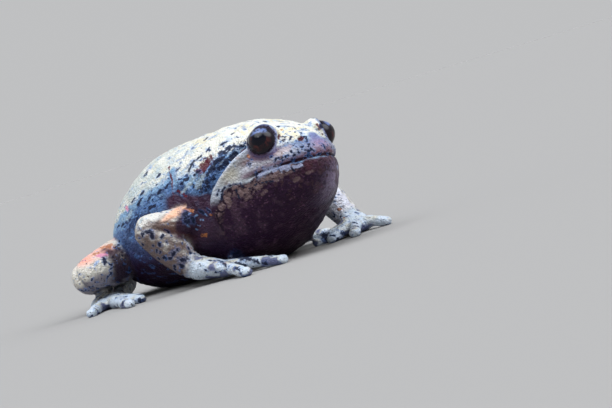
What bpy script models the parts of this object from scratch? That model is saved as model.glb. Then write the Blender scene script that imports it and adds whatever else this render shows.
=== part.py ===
"""Smooth-fingered narrow-mouthed frog, life size, sitting on its four feet with its head raised.

Sizes are in millimetres and become metres where a mesh is made. The frog faces +X, its left side is +Y,
and it rests on Z = 0. The head and torso are one lofted form, parted at the groove behind the cheek.
Each limb is a chain of tapered lofts, parted at its joints by the plane that halves the bend.
"""

import math

import bmesh
import bpy
import numpy as np
from mathutils import Matrix, Vector

MM = 0.001
GAP = 0.3

# Head and torso, before the frog turns and tilts its head
BODY_LENGTH = 53.8
RUMP_HEIGHT, RUMP_ROUND = 8.0, 10.5
SNOUT_HEIGHT, SNOUT_ROUND, SNOUT_BLUNTNESS = 15.0, 5.6, 2.2
STATION_X = (0.0, 5.0, 10.0, 16.0, 22.0, 29.0, 36.0, 41.0, 46.0, 50.0, 53.0, 55.0)
BACK_HEIGHT = (14.8, 17.8, 20.6, 23.6, 24.3, 24.7, 24.9, 24.1, 22.5, 21.0, 20.3, 20.0)
BELLY_HEIGHT = (2.5, 0.2, -0.5, -0.7, -0.7, -0.4, 0.8, 3.2, 6.2, 8.5, 9.6, 10.0)
HALF_WIDTH = (10.2, 13.0, 14.5, 15.2, 15.2, 14.2, 12.3, 10.6, 8.3, 6.1, 4.7, 4.0)
WIDEST_HEIGHT = (6.5, 7.4, 8.6, 9.6, 10.0, 10.4, 11.2, 12.0, 12.8, 13.4, 13.9, 14.2)
ROUNDNESS_ABOVE = (2.15, 2.15, 2.15, 2.15, 2.15, 2.15, 2.2, 2.4, 2.6, 2.4, 2.2, 2.1)
ROUNDNESS_BELOW = 2.3
BODY_RINGS, BODY_SIDES = 72, 64
FORM_VOXEL, FORM_SMOOTHING, FORM_TRIANGLES = 0.27, 6, 5600

# The head rolls to the frog's left and turns a little to its right
NECK_X = 34.0
HEAD_ROLL_DEG = 8.0
TORSO_ROLL_DEG = 3.0
HEAD_TURN_DEG = -3.0
ROLL_AXIS_HEIGHT = 12.0
RUMP_STILL, TURN_START, TURN_RUN = 14.0, 12.0, 28.0

# The head parts from the torso on a plane that leans forward
PARTING_X, PARTING_HEIGHT, PARTING_LEAN = 37.6, 15.0, 0.5

# Eyes, each in a round swelling that ends in a thin lid round the open front. The lid is measured by its
# angle from the way the eye looks: skin starts at the opening, is whole after the edge and thickest behind
EYE_CENTRE = (46.2, 6.4, 19.8)
EYE_RADIUS = 2.55
SOCKET_RADIUS = EYE_RADIUS + GAP
EYE_OUTLOOK = (0.55, 0.78, 0.30)
ORBIT_RADIUS, ORBIT_SET_BACK = 3.3, 0.9
BROW, BROW_RADII = ((42.0, 5.4, 17.4), (46.4, 5.0, 17.5), (49.8, 3.0, 16.9)), (3.0, 3.1, 2.0)
ORBIT_BLEND_RADIUS, ORBIT_BLEND_WIDTH, ORBIT_BLENDING = 4.6, 1.7, 60
LID_EDGE, LID_THICKNESS = 0.12, 0.4
LID_OPENING_DEG, LID_EDGE_DEG, LID_THICK_DEG, LID_REACH_DEG = 58.0, 10.0, 100.0, 120.0
LID_GROWTH, LID_INFLUENCE = 0.02, ORBIT_RADIUS + 1.5

# Mouth, nostrils and the fold that runs down behind the cheek. Each pair that ends the fold is a place
# and the length over which it fades
MOUTH_CORNER_X, MOUTH_CORNER_HEIGHT, MOUTH_RISE = 42.8, 14.6, 0.11
MOUTH_DEPTH, MOUTH_HALF_WIDTH, MOUTH_TAPER, MOUTH_DROOP = 0.45, 0.4, 2.6, 0.5
LIP_SWELL = 0.22
UPPER_LIP_HEIGHT, UPPER_LIP_WIDTH, LOWER_LIP_DROP, LOWER_LIP_WIDTH = 1.3, 0.9, 1.2, 0.8
NOSTRIL = (51.6, 2.5, 19.4)
NOSTRIL_RADIUS, NOSTRIL_DEPTH = 0.6, 0.75
NOSTRIL_RIM_HEIGHT, NOSTRIL_RIM_RADIUS = 0.25, 1.4
FOLD_X, FOLD_HEIGHT, FOLD_LEAN, FOLD_BOW = 38.0, 15.1, 0.91, 0.068
FOLD_TOP, FOLD_FOOT, FOLD_INNER = (20.2, 2.0), (6.5, 3.0), (5.0, 2.5)
CHEEK_SWELL, CHEEK_SWELL_AHEAD, CHEEK_SWELL_WIDTH = 0.6, 1.0, 1.1
CHEEK_GROOVE, CHEEK_GROOVE_BEHIND, CHEEK_GROOVE_WIDTH = 0.75, 0.6, 0.8

# Forelimbs: shoulder, elbow, wrist, palm and fingertips, and the radii along them
SHOULDER_R, ELBOW_R, WRIST_R = (33.4, -7.6, 11.4), (26.0, -18.9, 11.6), (29.9, -15.5, 3.8)
SHOULDER_L, ELBOW_L, WRIST_L = (33.5, 9.0, 10.0), (29.8, 18.2, 10.0), (37.4, 16.7, 2.5)
PALM_R, PALM_L = (34.2, -13.3, 2.1), (40.4, 14.9, 1.7)
SHOULDER_RADIUS, UPPER_ARM_RADIUS, ELBOW_RADIUS = 2.9, 2.5, 2.9
FOREARM_ACROSS, FOREARM_UP = 2.4, 3.1
WRIST_ACROSS, WRIST_UP = 2.2, 2.3
PALM_HALF_WIDTH, PALM_HALF_HEIGHT = 3.0, 1.5
FINGER_RADIUS, FINGER_TIP_RADIUS, FINGER_LIFT = 0.92, 1.2, 0.35
FINGER_TIPS_R = ((34.0, -7.2), (39.6, -6.2), (45.6, -9.0), (44.2, -16.4))
FINGER_TIPS_L = ((36.6, 7.9), (41.2, 7.4), (45.6, 8.9), (45.6, 17.2))

# A digit: places from root to tip, its thickness there against its own radius, and the share of its lift
DIGIT_PLACES = (0.0, 0.3, 0.52, 0.72, 0.88, 1.0)
DIGIT_THICKNESS = (1.45, 1.15, 0.95, 1.05, 0.86)
DIGIT_ARCH = (0.0, 1.0, 0.8, 0.3, 0.0, 0.0)
TIP_FLATNESS, TIP_HEIGHT = 0.72, 0.62

# Hind limbs: hip, knee, heel, ball of the foot and toe tips, and the radii along them
HIP, KNEE, HEEL = (11.0, 4.0, 9.0), (7.2, 20.2, 6.6), (-0.3, 7.4, 3.0)
HIP_RADIUS, THIGH_RADIUS, KNEE_RADIUS = 4.8, 4.3, 3.3
SHANK_RADIUS, HEEL_RADIUS = 3.3, 2.3
FOOT_BASE = (7.0, 17.6)
TARSUS_RADIUS, FOOT_HALF_WIDTH, FOOT_HALF_HEIGHT = 2.0, 3.3, 1.5
TOE_RADIUS, TOE_TIP_RADIUS, TOE_LIFT, TOE_ROOT_HEIGHT = 0.92, 1.0, 0.2, 0.95
TOE_TIPS = ((12.8, 16.6), (16.8, 18.2), (20.4, 20.8), (22.2, 24.8), (12.6, 26.2))

# Colours
CREAM, BLUE_GREY, TAN = (0.62, 0.58, 0.48), (0.36, 0.39, 0.44), (0.48, 0.38, 0.29)
PALE_BLUE, EYE_BLACK = (0.50, 0.55, 0.66), (0.02, 0.012, 0.01)
SKIN_ROUGHNESS, EYE_ROUGHNESS = 0.45, 0.05


def spline(knots, values):
    """A natural cubic spline through the knots, as a function."""
    x, y = np.array(knots, float), np.array(values, float)
    h = np.diff(x)
    system, right = np.eye(len(x)), np.zeros(len(x))
    for i in range(1, len(x) - 1):
        system[i, i - 1 : i + 2] = h[i - 1], 2 * (h[i - 1] + h[i]), h[i]
        right[i] = 6 * ((y[i + 1] - y[i]) / h[i] - (y[i] - y[i - 1]) / h[i - 1])
    bend = np.linalg.solve(system, right)

    def at(t):
        i = int(np.clip(np.searchsorted(x, t) - 1, 0, len(h) - 1))
        a, b = x[i + 1] - t, t - x[i]
        cubic = (bend[i] * a**3 + bend[i + 1] * b**3) / (6 * h[i])
        start, end = y[i] / h[i] - bend[i] * h[i] / 6, y[i + 1] / h[i] - bend[i + 1] * h[i] / 6
        return cubic + start * a + end * b

    return at


back_height = spline(STATION_X, BACK_HEIGHT)
belly_height = spline(STATION_X, BELLY_HEIGHT)
half_width = spline(STATION_X, HALF_WIDTH)
roundness_above = spline(STATION_X, ROUNDNESS_ABOVE)
widest_height = spline(STATION_X, WIDEST_HEIGHT)


def body_ring(x, sides):
    """Points round the head and torso at one distance from the rump."""
    shrink, pole = 1.0, 0.0
    if x < RUMP_ROUND:
        shrink, pole = math.sqrt(max(0.0, 1 - ((RUMP_ROUND - x) / RUMP_ROUND) ** 2)), RUMP_HEIGHT
    if x > BODY_LENGTH - SNOUT_ROUND:
        run = (x - BODY_LENGTH + SNOUT_ROUND) / SNOUT_ROUND
        shrink, pole = max(0.0, 1 - run**SNOUT_BLUNTNESS) ** (1 / SNOUT_BLUNTNESS), SNOUT_HEIGHT
    top = pole + (back_height(x) - pole) * shrink
    bottom = pole + (belly_height(x) - pole) * shrink
    middle = pole + (widest_height(x) - pole) * shrink
    width = half_width(x) * shrink
    points = []
    for k in range(sides):
        angle = 2 * math.pi * k / sides
        c, s = math.cos(angle), math.sin(angle)
        power = 2 / (roundness_above(x) if s > 0 else ROUNDNESS_BELOW)
        reach = top - middle if s > 0 else middle - bottom
        y = math.copysign(abs(c) ** power, c) * width
        z = math.copysign(abs(s) ** power, s) * reach
        points.append((x, y, middle + z))
    return points


def mesh_object(name, points, faces):
    """An object in metres from points in millimetres."""
    mesh = bpy.data.meshes.new(name)
    mesh.from_pydata([tuple(MM * c for c in p) for p in points], [], faces)
    obj = bpy.data.objects.new(name, mesh)
    bpy.context.scene.collection.objects.link(obj)
    return obj


def loft(name, rings, first_pole, last_pole):
    """A closed skin over rings of equal count, with a pole at each end."""
    sides = len(rings[0])
    points = [first_pole] + [p for ring in rings for p in ring] + [last_pole]
    faces = []
    for i in range(len(rings) - 1):
        for k in range(sides):
            a, b = 1 + i * sides + k, 1 + i * sides + (k + 1) % sides
            faces.append((a, b, b + sides, a + sides))
    last = len(points) - 1
    for k in range(sides):
        faces.append((0, 1 + (k + 1) % sides, 1 + k))
        faces.append((last, last - sides + k, last - sides + (k + 1) % sides))
    obj = mesh_object(name, points, faces)
    face_outwards(obj)
    return obj


def face_outwards(obj):
    bm = bmesh.new()
    bm.from_mesh(obj.data)
    bmesh.ops.recalc_face_normals(bm, faces=bm.faces)
    bm.to_mesh(obj.data)
    bm.free()


def ball(name, centre, radius, segments=20, rings=12):
    bpy.ops.mesh.primitive_uv_sphere_add(
        segments=segments, ring_count=rings, radius=radius * MM, location=[c * MM for c in centre]
    )
    obj = bpy.context.object
    obj.name = obj.data.name = name
    obj.data.transform(obj.matrix_world)
    obj.matrix_world = Matrix.Identity(4)
    return obj


def drop(*objects):
    for obj in objects:
        bpy.data.objects.remove(obj)


def apply_modifiers(obj):
    bpy.context.view_layer.update()
    graph = bpy.context.evaluated_depsgraph_get()
    made = bpy.data.meshes.new_from_object(obj.evaluated_get(graph))
    obj.modifiers.clear()
    obj.data = made


def joined(name, pieces):
    """One object that holds the meshes of all the pieces, which are then removed."""
    points, faces = [], []
    for piece in pieces:
        start = len(points)
        points += [tuple(c / MM for c in v.co) for v in piece.data.vertices]
        faces += [tuple(start + i for i in p.vertices) for p in piece.data.polygons]
    drop(*pieces)
    return mesh_object(name, points, faces)


def fused(name, pieces, voxel, smoothing):
    """The pieces as one skin, by a voxel remesh, with the creases between them smoothed."""
    obj = joined(name, pieces)
    remesh = obj.modifiers.new("fuse", "REMESH")
    remesh.mode = "VOXEL"
    remesh.voxel_size = voxel * MM
    smooth = obj.modifiers.new("soften", "SMOOTH")
    smooth.iterations = smoothing
    smooth.factor = 0.5
    apply_modifiers(obj)
    return obj


def united(name, pieces):
    """The pieces as one closed solid, by one Boolean union on a collection."""
    base, others = pieces[0], bpy.data.collections.new("pieces")
    for piece in pieces[1:]:
        others.objects.link(piece)
    union = base.modifiers.new("union", "BOOLEAN")
    union.operation, union.operand_type, union.solver = "UNION", "COLLECTION", "EXACT"
    union.collection = others
    apply_modifiers(base)
    bpy.data.collections.remove(others)
    drop(*pieces[1:])
    base.name = base.data.name = name
    return base


def cut_away(obj, cutter):
    """Takes the cutter's space out of obj."""
    cut = obj.modifiers.new("cut", "BOOLEAN")
    cut.operation, cut.solver, cut.object = "DIFFERENCE", "EXACT", cutter
    apply_modifiers(obj)


def keep_side(obj, point, normal, clear=0.0):
    """Keeps the part of a closed mesh that the normal points to, clear of the plane, and caps it."""
    bm = bmesh.new()
    bm.from_mesh(obj.data)
    direction = Vector(normal).normalized()
    place = (Vector(point) + direction * clear) * MM
    geometry = bm.verts[:] + bm.edges[:] + bm.faces[:]
    cut = bmesh.ops.bisect_plane(
        bm, geom=geometry, dist=1e-7, plane_co=place, plane_no=direction, clear_inner=True, clear_outer=False
    )
    rim = [e for e in cut["geom_cut"] if isinstance(e, bmesh.types.BMEdge)]
    if rim:
        bmesh.ops.holes_fill(bm, edges=rim, sides=0)
    bmesh.ops.recalc_face_normals(bm, faces=bm.faces)
    bm.to_mesh(obj.data)
    bm.free()


def copy_of(obj, name):
    twin = obj.copy()
    twin.data = obj.data.copy()
    twin.name = name
    bpy.context.scene.collection.objects.link(twin)
    return twin


def largest_body(obj):
    """Drops all but the largest closed surface of a mesh."""
    bm = bmesh.new()
    bm.from_mesh(obj.data)
    left, groups = set(bm.verts), []
    while left:
        group, edge = set(), [left.pop()]
        while edge:
            vertex = edge.pop()
            group.add(vertex)
            near = {e.other_vert(vertex) for e in vertex.link_edges} & left
            left -= near
            edge += near
        groups.append(group)
    groups.sort(key=len, reverse=True)
    for group in groups[1:]:
        bmesh.ops.delete(bm, geom=list(group), context="VERTS")
    bm.to_mesh(obj.data)
    bm.free()


def arrays_of(obj):
    """The mesh's points in millimetres and its normals, as arrays."""
    mesh = obj.data
    points, normals = np.zeros(len(mesh.vertices) * 3), np.zeros(len(mesh.vertices) * 3)
    mesh.vertices.foreach_get("co", points)
    mesh.vertices.foreach_get("normal", normals)
    return points.reshape(-1, 3) / MM, normals.reshape(-1, 3)


def set_points(obj, points):
    obj.data.vertices.foreach_set("co", (points * MM).ravel())
    obj.data.update()


def swollen(obj, name, by):
    """A copy with its surface moved outwards, for cutting what grows from it."""
    twin = copy_of(obj, name)
    points, normals = arrays_of(twin)
    set_points(twin, points + normals * by)
    return twin


def eased(t):
    t = np.clip(t, 0, 1)
    return t * t * (3 - 2 * t)


def bell(distance, width):
    return np.exp(-((distance / width) ** 2))


def posed(points):
    """Turns and rolls points of the straight body into the pose: none at the rump, all of it at the head."""
    points = np.atleast_2d(np.array(points, float))
    share = eased((points[:, 0] - TURN_START) / TURN_RUN)
    roll = np.radians(TORSO_ROLL_DEG + (HEAD_ROLL_DEG - TORSO_ROLL_DEG) * share)
    roll *= eased(points[:, 0] / RUMP_STILL)
    turn = np.radians(HEAD_TURN_DEG) * share
    y, z = points[:, 1], points[:, 2] - ROLL_AXIS_HEIGHT
    rolled_y = y * np.cos(roll) + z * np.sin(roll)
    rolled_z = -y * np.sin(roll) + z * np.cos(roll)
    x = points[:, 0] - NECK_X
    turned_x = NECK_X + x * np.cos(turn) - rolled_y * np.sin(turn)
    turned_y = x * np.sin(turn) + rolled_y * np.cos(turn)
    return np.stack([turned_x, turned_y, rolled_z + ROLL_AXIS_HEIGHT], 1)


def head_features(points):
    """How far each point of the head moves out along its normal for mouth, lips, nostrils and cheek fold."""
    x, y, z = points.T
    ahead = x - MOUTH_CORNER_X
    along_mouth = eased(ahead / MOUTH_TAPER)
    above = z - MOUTH_CORNER_HEIGHT - MOUTH_RISE * ahead + MOUTH_DROOP * bell(ahead, MOUTH_TAPER)
    move = -MOUTH_DEPTH * bell(above, MOUTH_HALF_WIDTH) * along_mouth
    lips = bell(above - UPPER_LIP_HEIGHT, UPPER_LIP_WIDTH) + bell(above + LOWER_LIP_DROP, LOWER_LIP_WIDTH)
    move += LIP_SWELL * lips * along_mouth
    for sign in (-1, 1):
        nostril = np.array([NOSTRIL[0], sign * NOSTRIL[1], NOSTRIL[2]])
        away = np.linalg.norm(points - nostril, axis=1)
        move -= NOSTRIL_DEPTH * bell(away, NOSTRIL_RADIUS)
        move += NOSTRIL_RIM_HEIGHT * bell(away - NOSTRIL_RIM_RADIUS, NOSTRIL_RADIUS)
    height = z - FOLD_HEIGHT
    slope = FOLD_LEAN + 2 * FOLD_BOW * height
    beyond = (x - FOLD_X - FOLD_LEAN * height - FOLD_BOW * height**2) / np.sqrt(1 + slope**2)
    present = eased((FOLD_TOP[0] - z) / FOLD_TOP[1]) * eased((z - FOLD_FOOT[0]) / FOLD_FOOT[1])
    present *= eased((np.abs(y) - FOLD_INNER[0]) / FOLD_INNER[1])
    move += CHEEK_SWELL * bell(beyond - CHEEK_SWELL_AHEAD, CHEEK_SWELL_WIDTH) * present
    move -= CHEEK_GROOVE * bell(beyond + CHEEK_GROOVE_BEHIND, CHEEK_GROOVE_WIDTH) * present
    return move


def lidded(points):
    """Draws the skin round each eye to the eyeball: pulled in at the open front, with a thin lid round it."""
    points = points.copy()
    for sign in (-1, 1):
        look = np.array(mirror(Vector(EYE_OUTLOOK).normalized(), sign))
        offset = points - np.array(mirror(EYE_CENTRE, sign))
        reach = np.linalg.norm(offset, axis=1)
        angle = np.degrees(np.arccos(np.clip(offset @ look / reach, -1, 1)))
        edge_angle = LID_OPENING_DEG + LID_EDGE_DEG
        from_edge = (angle - edge_angle) / (LID_THICK_DEG - edge_angle)
        least = SOCKET_RADIUS + LID_EDGE + (LID_THICKNESS - LID_EDGE) * eased(from_edge)
        most = least + LID_GROWTH * np.maximum(0, angle - edge_angle)
        hold = eased((LID_REACH_DEG - angle) / (LID_REACH_DEG - edge_angle))
        skin = reach + (np.clip(reach, least, most) - reach) * hold
        open_reach = np.minimum(reach, EYE_RADIUS)
        shut = eased((angle - LID_OPENING_DEG) / LID_EDGE_DEG)
        drawn = np.where(reach < LID_INFLUENCE, open_reach + (skin - open_reach) * shut, reach)
        points += offset * ((drawn - reach) / reach)[:, None]
    return points


def body_form():
    """Head and torso as one skin, in the pose."""
    xs = [BODY_LENGTH * (1 - math.cos(math.pi * t / BODY_RINGS)) / 2 for t in range(1, BODY_RINGS)]
    rings = [body_ring(x, BODY_SIDES) for x in xs]
    form = loft("form", rings, (0, 0, RUMP_HEIGHT), (BODY_LENGTH, 0, SNOUT_HEIGHT))
    orbits = []
    look = Vector(EYE_OUTLOOK).normalized()
    for sign in (-1, 1):
        back = Vector(EYE_CENTRE) - look * ORBIT_SET_BACK
        orbits.append(ball("orbit", (back.x, sign * back.y, back.z), ORBIT_RADIUS, 32, 20))
        orbits.append(limb("brow", [mirror(p, sign) for p in BROW], BROW_RADII))
    form = fused("form", [form] + orbits, FORM_VOXEL, FORM_SMOOTHING)
    points, _ = arrays_of(form)
    away = [np.linalg.norm(points - np.array(mirror(EYE_CENTRE, sign)), axis=1) for sign in (-1, 1)]
    melted(form, bell(np.minimum(*away) - ORBIT_BLEND_RADIUS, ORBIT_BLEND_WIDTH), ORBIT_BLENDING)
    points, normals = arrays_of(form)
    set_points(form, lidded(points + normals * head_features(points)[:, None]))
    return form


def melted(obj, share, times):
    """Smooths a mesh where share is near 1."""
    group = obj.vertex_groups.new(name="melt")
    for i in np.nonzero(share > 0.02)[0]:
        group.add([int(i)], float(share[i]), "REPLACE")
    smooth = obj.modifiers.new("melt", "SMOOTH")
    smooth.iterations, smooth.factor, smooth.vertex_group = times, 0.5, "melt"
    apply_modifiers(obj)
    obj.vertex_groups.clear()


def thinned(obj, triangles):
    """Collapses edges down to a number of triangles."""
    now = sum(len(p.vertices) - 2 for p in obj.data.polygons)
    decimate = obj.modifiers.new("thin", "DECIMATE")
    decimate.ratio = triangles / now
    decimate.use_collapse_triangulate = True
    apply_modifiers(obj)


def smooth_path(points, steps):
    """Points along a Catmull-Rom curve through the given ones, and each one's place along it."""
    p = [Vector(q) for q in points]
    p = [2 * p[0] - p[1]] + p + [2 * p[-1] - p[-2]]
    made = []
    for i in range(1, len(p) - 2):
        for k in range(steps + (i == len(p) - 3)):
            t = k / steps
            a, b, c, d = p[i - 1 : i + 3]
            curve = 2 * b + (c - a) * t + (2 * a - 5 * b + 4 * c - d) * t**2 + (3 * b - a - 3 * c + d) * t**3
            made.append((curve / 2, i - 1 + t))
    return made


def limb(name, points, radii, sides=16, steps=4, cap_rings=3):
    """A tapered round loft through points, with a rounded end at each. A radius may be (across, up)."""
    pairs = [r if isinstance(r, tuple) else (r, r) for r in radii]
    across = spline(range(len(pairs)), [r[0] for r in pairs])
    upward = spline(range(len(pairs)), [r[1] for r in pairs])
    path = smooth_path(points, steps)
    places = [q[0] for q in path]
    befores, afters = places[:1] + places[:-1], places[1:] + places[-1:]
    ways = [(after - before).normalized() for before, after in zip(befores, afters)]
    stops = []
    for k in range(cap_rings, 0, -1):
        a = math.pi / 2 * k / (cap_rings + 0.35)
        stops.append((places[0] - ways[0] * upward(0) * math.sin(a), ways[0], 0, math.cos(a)))
    stops += [(places[i], ways[i], path[i][1], 1.0) for i in range(len(places))]
    last = len(points) - 1
    for k in range(1, cap_rings + 1):
        a = math.pi / 2 * k / (cap_rings + 0.35)
        stops.append((places[-1] + ways[-1] * upward(last) * math.sin(a), ways[-1], last, math.cos(a)))
    rings, side = [], None
    for centre, way, place, shrink in stops:
        if side is None:
            side = way.cross(Vector((0, 0, 1)) if abs(way.z) < 0.9 else Vector((1, 0, 0))).normalized()
        side = (side - way * side.dot(way)).normalized()
        up = side.cross(way)
        a, b = across(place) * shrink, upward(place) * shrink
        turns = [2 * math.pi * k / sides for k in range(sides)]
        rings.append([tuple(centre + side * (a * math.cos(t)) + up * (b * math.sin(t))) for t in turns])
    first = places[0] - ways[0] * upward(0)
    end = places[-1] + ways[-1] * upward(last)
    return loft(name, rings, tuple(first), tuple(end))


def joint_plane(before, joint, after):
    """The normal of the plane that halves a bend, pointing to the side of before."""
    a = (Vector(before) - Vector(joint)).normalized()
    b = (Vector(after) - Vector(joint)).normalized()
    return a - b


def digit(name, base, tip, radius, tip_radius, lift):
    """A finger or toe from its knuckle to a slightly widened tip, with two knobbed joints."""
    base, tip = Vector(base), Vector((tip[0], tip[1], tip_radius * TIP_HEIGHT))
    points = [base.lerp(tip, t) + Vector((0, 0, lift * arch)) for t, arch in zip(DIGIT_PLACES, DIGIT_ARCH)]
    radii = [radius * k for k in DIGIT_THICKNESS] + [(tip_radius, tip_radius * TIP_FLATNESS)]
    return limb(name, points, radii, sides=8, steps=1, cap_rings=2)


def paint(obj, colour, roughness):
    material = bpy.data.materials.new(obj.name)
    material.use_nodes = True
    shader = material.node_tree.nodes["Principled BSDF"]
    shader.inputs["Base Color"].default_value = (*colour, 1)
    shader.inputs["Roughness"].default_value = roughness
    shader.inputs["Metallic"].default_value = 0.0
    obj.data.materials.clear()
    obj.data.materials.append(material)
    obj.data.shade_smooth()


def mirror(point, sign):
    return (point[0], point[1] * sign, *point[2:])


def arm(side, shoulder, elbow, wrist, palm, tips, body):
    """Upper arm, forearm and hand of one side."""
    palm = Vector(palm)
    mid = Vector(shoulder).lerp(Vector(elbow), 0.5)
    upper_radii = (SHOULDER_RADIUS, UPPER_ARM_RADIUS, ELBOW_RADIUS)
    upper = limb(f"upper_arm_{side}", (shoulder, mid, elbow), upper_radii)
    middle = Vector(elbow).lerp(Vector(wrist), 0.45)
    thick, slim = (FOREARM_ACROSS, FOREARM_UP), (WRIST_ACROSS, WRIST_UP)
    fore = limb(f"forearm_{side}", (elbow, middle, wrist, palm), (ELBOW_RADIUS, thick, slim, slim))
    bend = joint_plane(shoulder, elbow, wrist)
    keep_side(upper, elbow, bend, GAP / 2)
    keep_side(fore, elbow, -bend, GAP / 2)
    wrist_way = (Vector(wrist) - middle).normalized() + (palm - Vector(wrist)).normalized()
    keep_side(fore, wrist, -wrist_way, GAP / 2)
    pieces = [
        limb(
            f"hand_{side}",
            (middle, wrist, palm, palm + (palm - Vector(wrist)) * 0.35),
            (thick, slim, (PALM_HALF_WIDTH, PALM_HALF_HEIGHT), (PALM_HALF_WIDTH * 0.8, 1.1)),
        )
    ]
    for i, tip in enumerate(tips):
        toward = Vector((tip[0] - palm.x, tip[1] - palm.y, 0)).normalized()
        base = palm + toward * PALM_HALF_WIDTH * 0.5
        base.z = palm.z - 0.35
        tip_radius = FINGER_TIP_RADIUS * (0.85 if i == 0 else 1)
        pieces.append(digit(f"finger_{i}", base, tip, FINGER_RADIUS, tip_radius, FINGER_LIFT))
    hand = united(f"hand_{side}", pieces)
    keep_side(hand, wrist, wrist_way, GAP / 2)
    largest_body(hand)
    for obj in (upper, fore, hand):
        cut_away(obj, body)
        keep_side(obj, (0, 0, 0), (0, 0, 1))
        largest_body(obj)
    return [upper, fore, hand]


def leg(side, sign, body):
    """Thigh, shank and foot of one side, folded against the rump."""
    hip, knee, heel = (Vector(mirror(p, sign)) for p in (HIP, KNEE, HEEL))
    thigh = limb(f"thigh_{side}", (hip, hip.lerp(knee, 0.5), knee), (HIP_RADIUS, THIGH_RADIUS, KNEE_RADIUS))
    shank_radii = (KNEE_RADIUS, SHANK_RADIUS, HEEL_RADIUS)
    shank = limb(f"shank_{side}", (knee, knee.lerp(heel, 0.45), heel), shank_radii)
    base = Vector((FOOT_BASE[0], FOOT_BASE[1] * sign, 1.2))
    knee_bend, heel_bend = joint_plane(hip, knee, heel), joint_plane(knee, heel, base)
    keep_side(thigh, knee, knee_bend, GAP / 2)
    keep_side(shank, knee, -knee_bend, GAP / 2)
    keep_side(shank, heel, heel_bend, GAP / 2)
    low_heel = Vector((heel.x, heel.y, 1.8))
    pieces = [
        limb(
            f"foot_{side}",
            (heel, low_heel.lerp(base, 0.5), base, base + (base - low_heel).normalized() * 1.5),
            (HEEL_RADIUS, TARSUS_RADIUS, (FOOT_HALF_WIDTH, FOOT_HALF_HEIGHT), (FOOT_HALF_WIDTH * 0.8, 1.1)),
        )
    ]
    for i, tip in enumerate(TOE_TIPS):
        tip = mirror(tip, sign)
        toward = Vector((tip[0] - base.x, tip[1] - base.y, 0)).normalized()
        root = base + toward * FOOT_HALF_WIDTH * 0.45
        root.z = TOE_ROOT_HEIGHT
        pieces.append(digit(f"toe_{i}", root, tip, TOE_RADIUS, TOE_TIP_RADIUS, TOE_LIFT))
    foot = united(f"foot_{side}", pieces)
    keep_side(foot, heel, -heel_bend, GAP / 2)
    largest_body(foot)
    for obj in (thigh, shank, foot):
        cut_away(obj, body)
        keep_side(obj, (0, 0, 0), (0, 0, 1))
        largest_body(obj)
    return [thigh, shank, foot]


def head_and_torso():
    """The body form in its pose, parted behind the cheeks, with eyes in their sockets."""
    form = body_form()
    thinned(form, FORM_TRIANGLES)
    points, _ = arrays_of(form)
    set_points(form, posed(points))
    keep_side(form, (0, 0, 0), (0, 0, 1))
    outer = swollen(form, "outer", GAP)
    head, torso = form, copy_of(form, "torso")
    head.name = "head"
    neck = posed([(PARTING_X, 0, PARTING_HEIGHT)])[0]
    neck_way = (1.0, math.tan(math.radians(HEAD_TURN_DEG)), -PARTING_LEAN)
    keep_side(head, neck, neck_way, GAP / 2)
    keep_side(torso, neck, [-c for c in neck_way], GAP / 2)
    eyes = []
    for side, sign in (("right", -1), ("left", 1)):
        centre = posed([mirror(EYE_CENTRE, sign)])[0]
        socket = ball("socket", centre, SOCKET_RADIUS, 28, 18)
        cut_away(head, socket)
        drop(socket)
        eyes.append(ball(f"eye_{side}", centre, EYE_RADIUS, 20, 12))
    largest_body(head)
    return head, torso, eyes, outer


def settle(objects):
    """Sets the frog down so that its box stands centred on the origin."""
    points = np.concatenate([arrays_of(obj)[0] for obj in objects])
    low, high = points.min(0), points.max(0)
    middle = np.array([(low[0] + high[0]) / 2, (low[1] + high[1]) / 2, 0])
    for obj in objects:
        set_points(obj, arrays_of(obj)[0] - middle)


def main():
    for obj in list(bpy.data.objects):
        bpy.data.objects.remove(obj)
    head, torso, eyes, outer = head_and_torso()
    arms = arm("right", SHOULDER_R, ELBOW_R, WRIST_R, PALM_R, FINGER_TIPS_R, outer)
    arms += arm("left", SHOULDER_L, ELBOW_L, WRIST_L, PALM_L, FINGER_TIPS_L, outer)
    legs = leg("right", -1, outer) + leg("left", 1, outer)
    drop(outer)
    settle([head, torso] + eyes + arms + legs)
    paint(head, CREAM, SKIN_ROUGHNESS)
    paint(torso, BLUE_GREY, SKIN_ROUGHNESS)
    for obj in arms + legs:
        paint(obj, PALE_BLUE if obj.name.startswith(("hand", "foot")) else TAN, SKIN_ROUGHNESS)
    for eye in eyes:
        paint(eye, EYE_BLACK, EYE_ROUGHNESS)


main()
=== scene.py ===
"""A narrow-mouthed frog as a museum would cast and paint it, life size, resting on a pale studio floor."""

import math

import bpy
import numpy as np
from mathutils import Matrix, Vector, noise
from mathutils.bvhtree import BVHTree


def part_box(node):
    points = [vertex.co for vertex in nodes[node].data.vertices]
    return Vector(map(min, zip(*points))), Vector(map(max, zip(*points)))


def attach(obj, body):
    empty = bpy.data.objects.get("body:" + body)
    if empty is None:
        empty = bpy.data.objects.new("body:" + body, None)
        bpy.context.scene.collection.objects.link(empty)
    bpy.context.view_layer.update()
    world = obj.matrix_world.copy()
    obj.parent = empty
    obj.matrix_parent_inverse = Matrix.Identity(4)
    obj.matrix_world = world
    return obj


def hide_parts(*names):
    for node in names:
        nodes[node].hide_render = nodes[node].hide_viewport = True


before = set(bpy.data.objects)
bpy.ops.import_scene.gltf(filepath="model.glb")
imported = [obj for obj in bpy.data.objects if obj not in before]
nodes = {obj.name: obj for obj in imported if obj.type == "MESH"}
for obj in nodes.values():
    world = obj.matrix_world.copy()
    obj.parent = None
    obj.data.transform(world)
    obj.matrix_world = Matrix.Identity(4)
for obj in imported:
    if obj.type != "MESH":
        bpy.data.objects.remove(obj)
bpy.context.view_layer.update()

# The camera.
# A long lens held low, about as high as the frog's back, halfway between its right flank and its nose. It
# leans, so that the level model fills the same place in the picture as the animal, which sat leaning.
MM = 0.001
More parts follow.
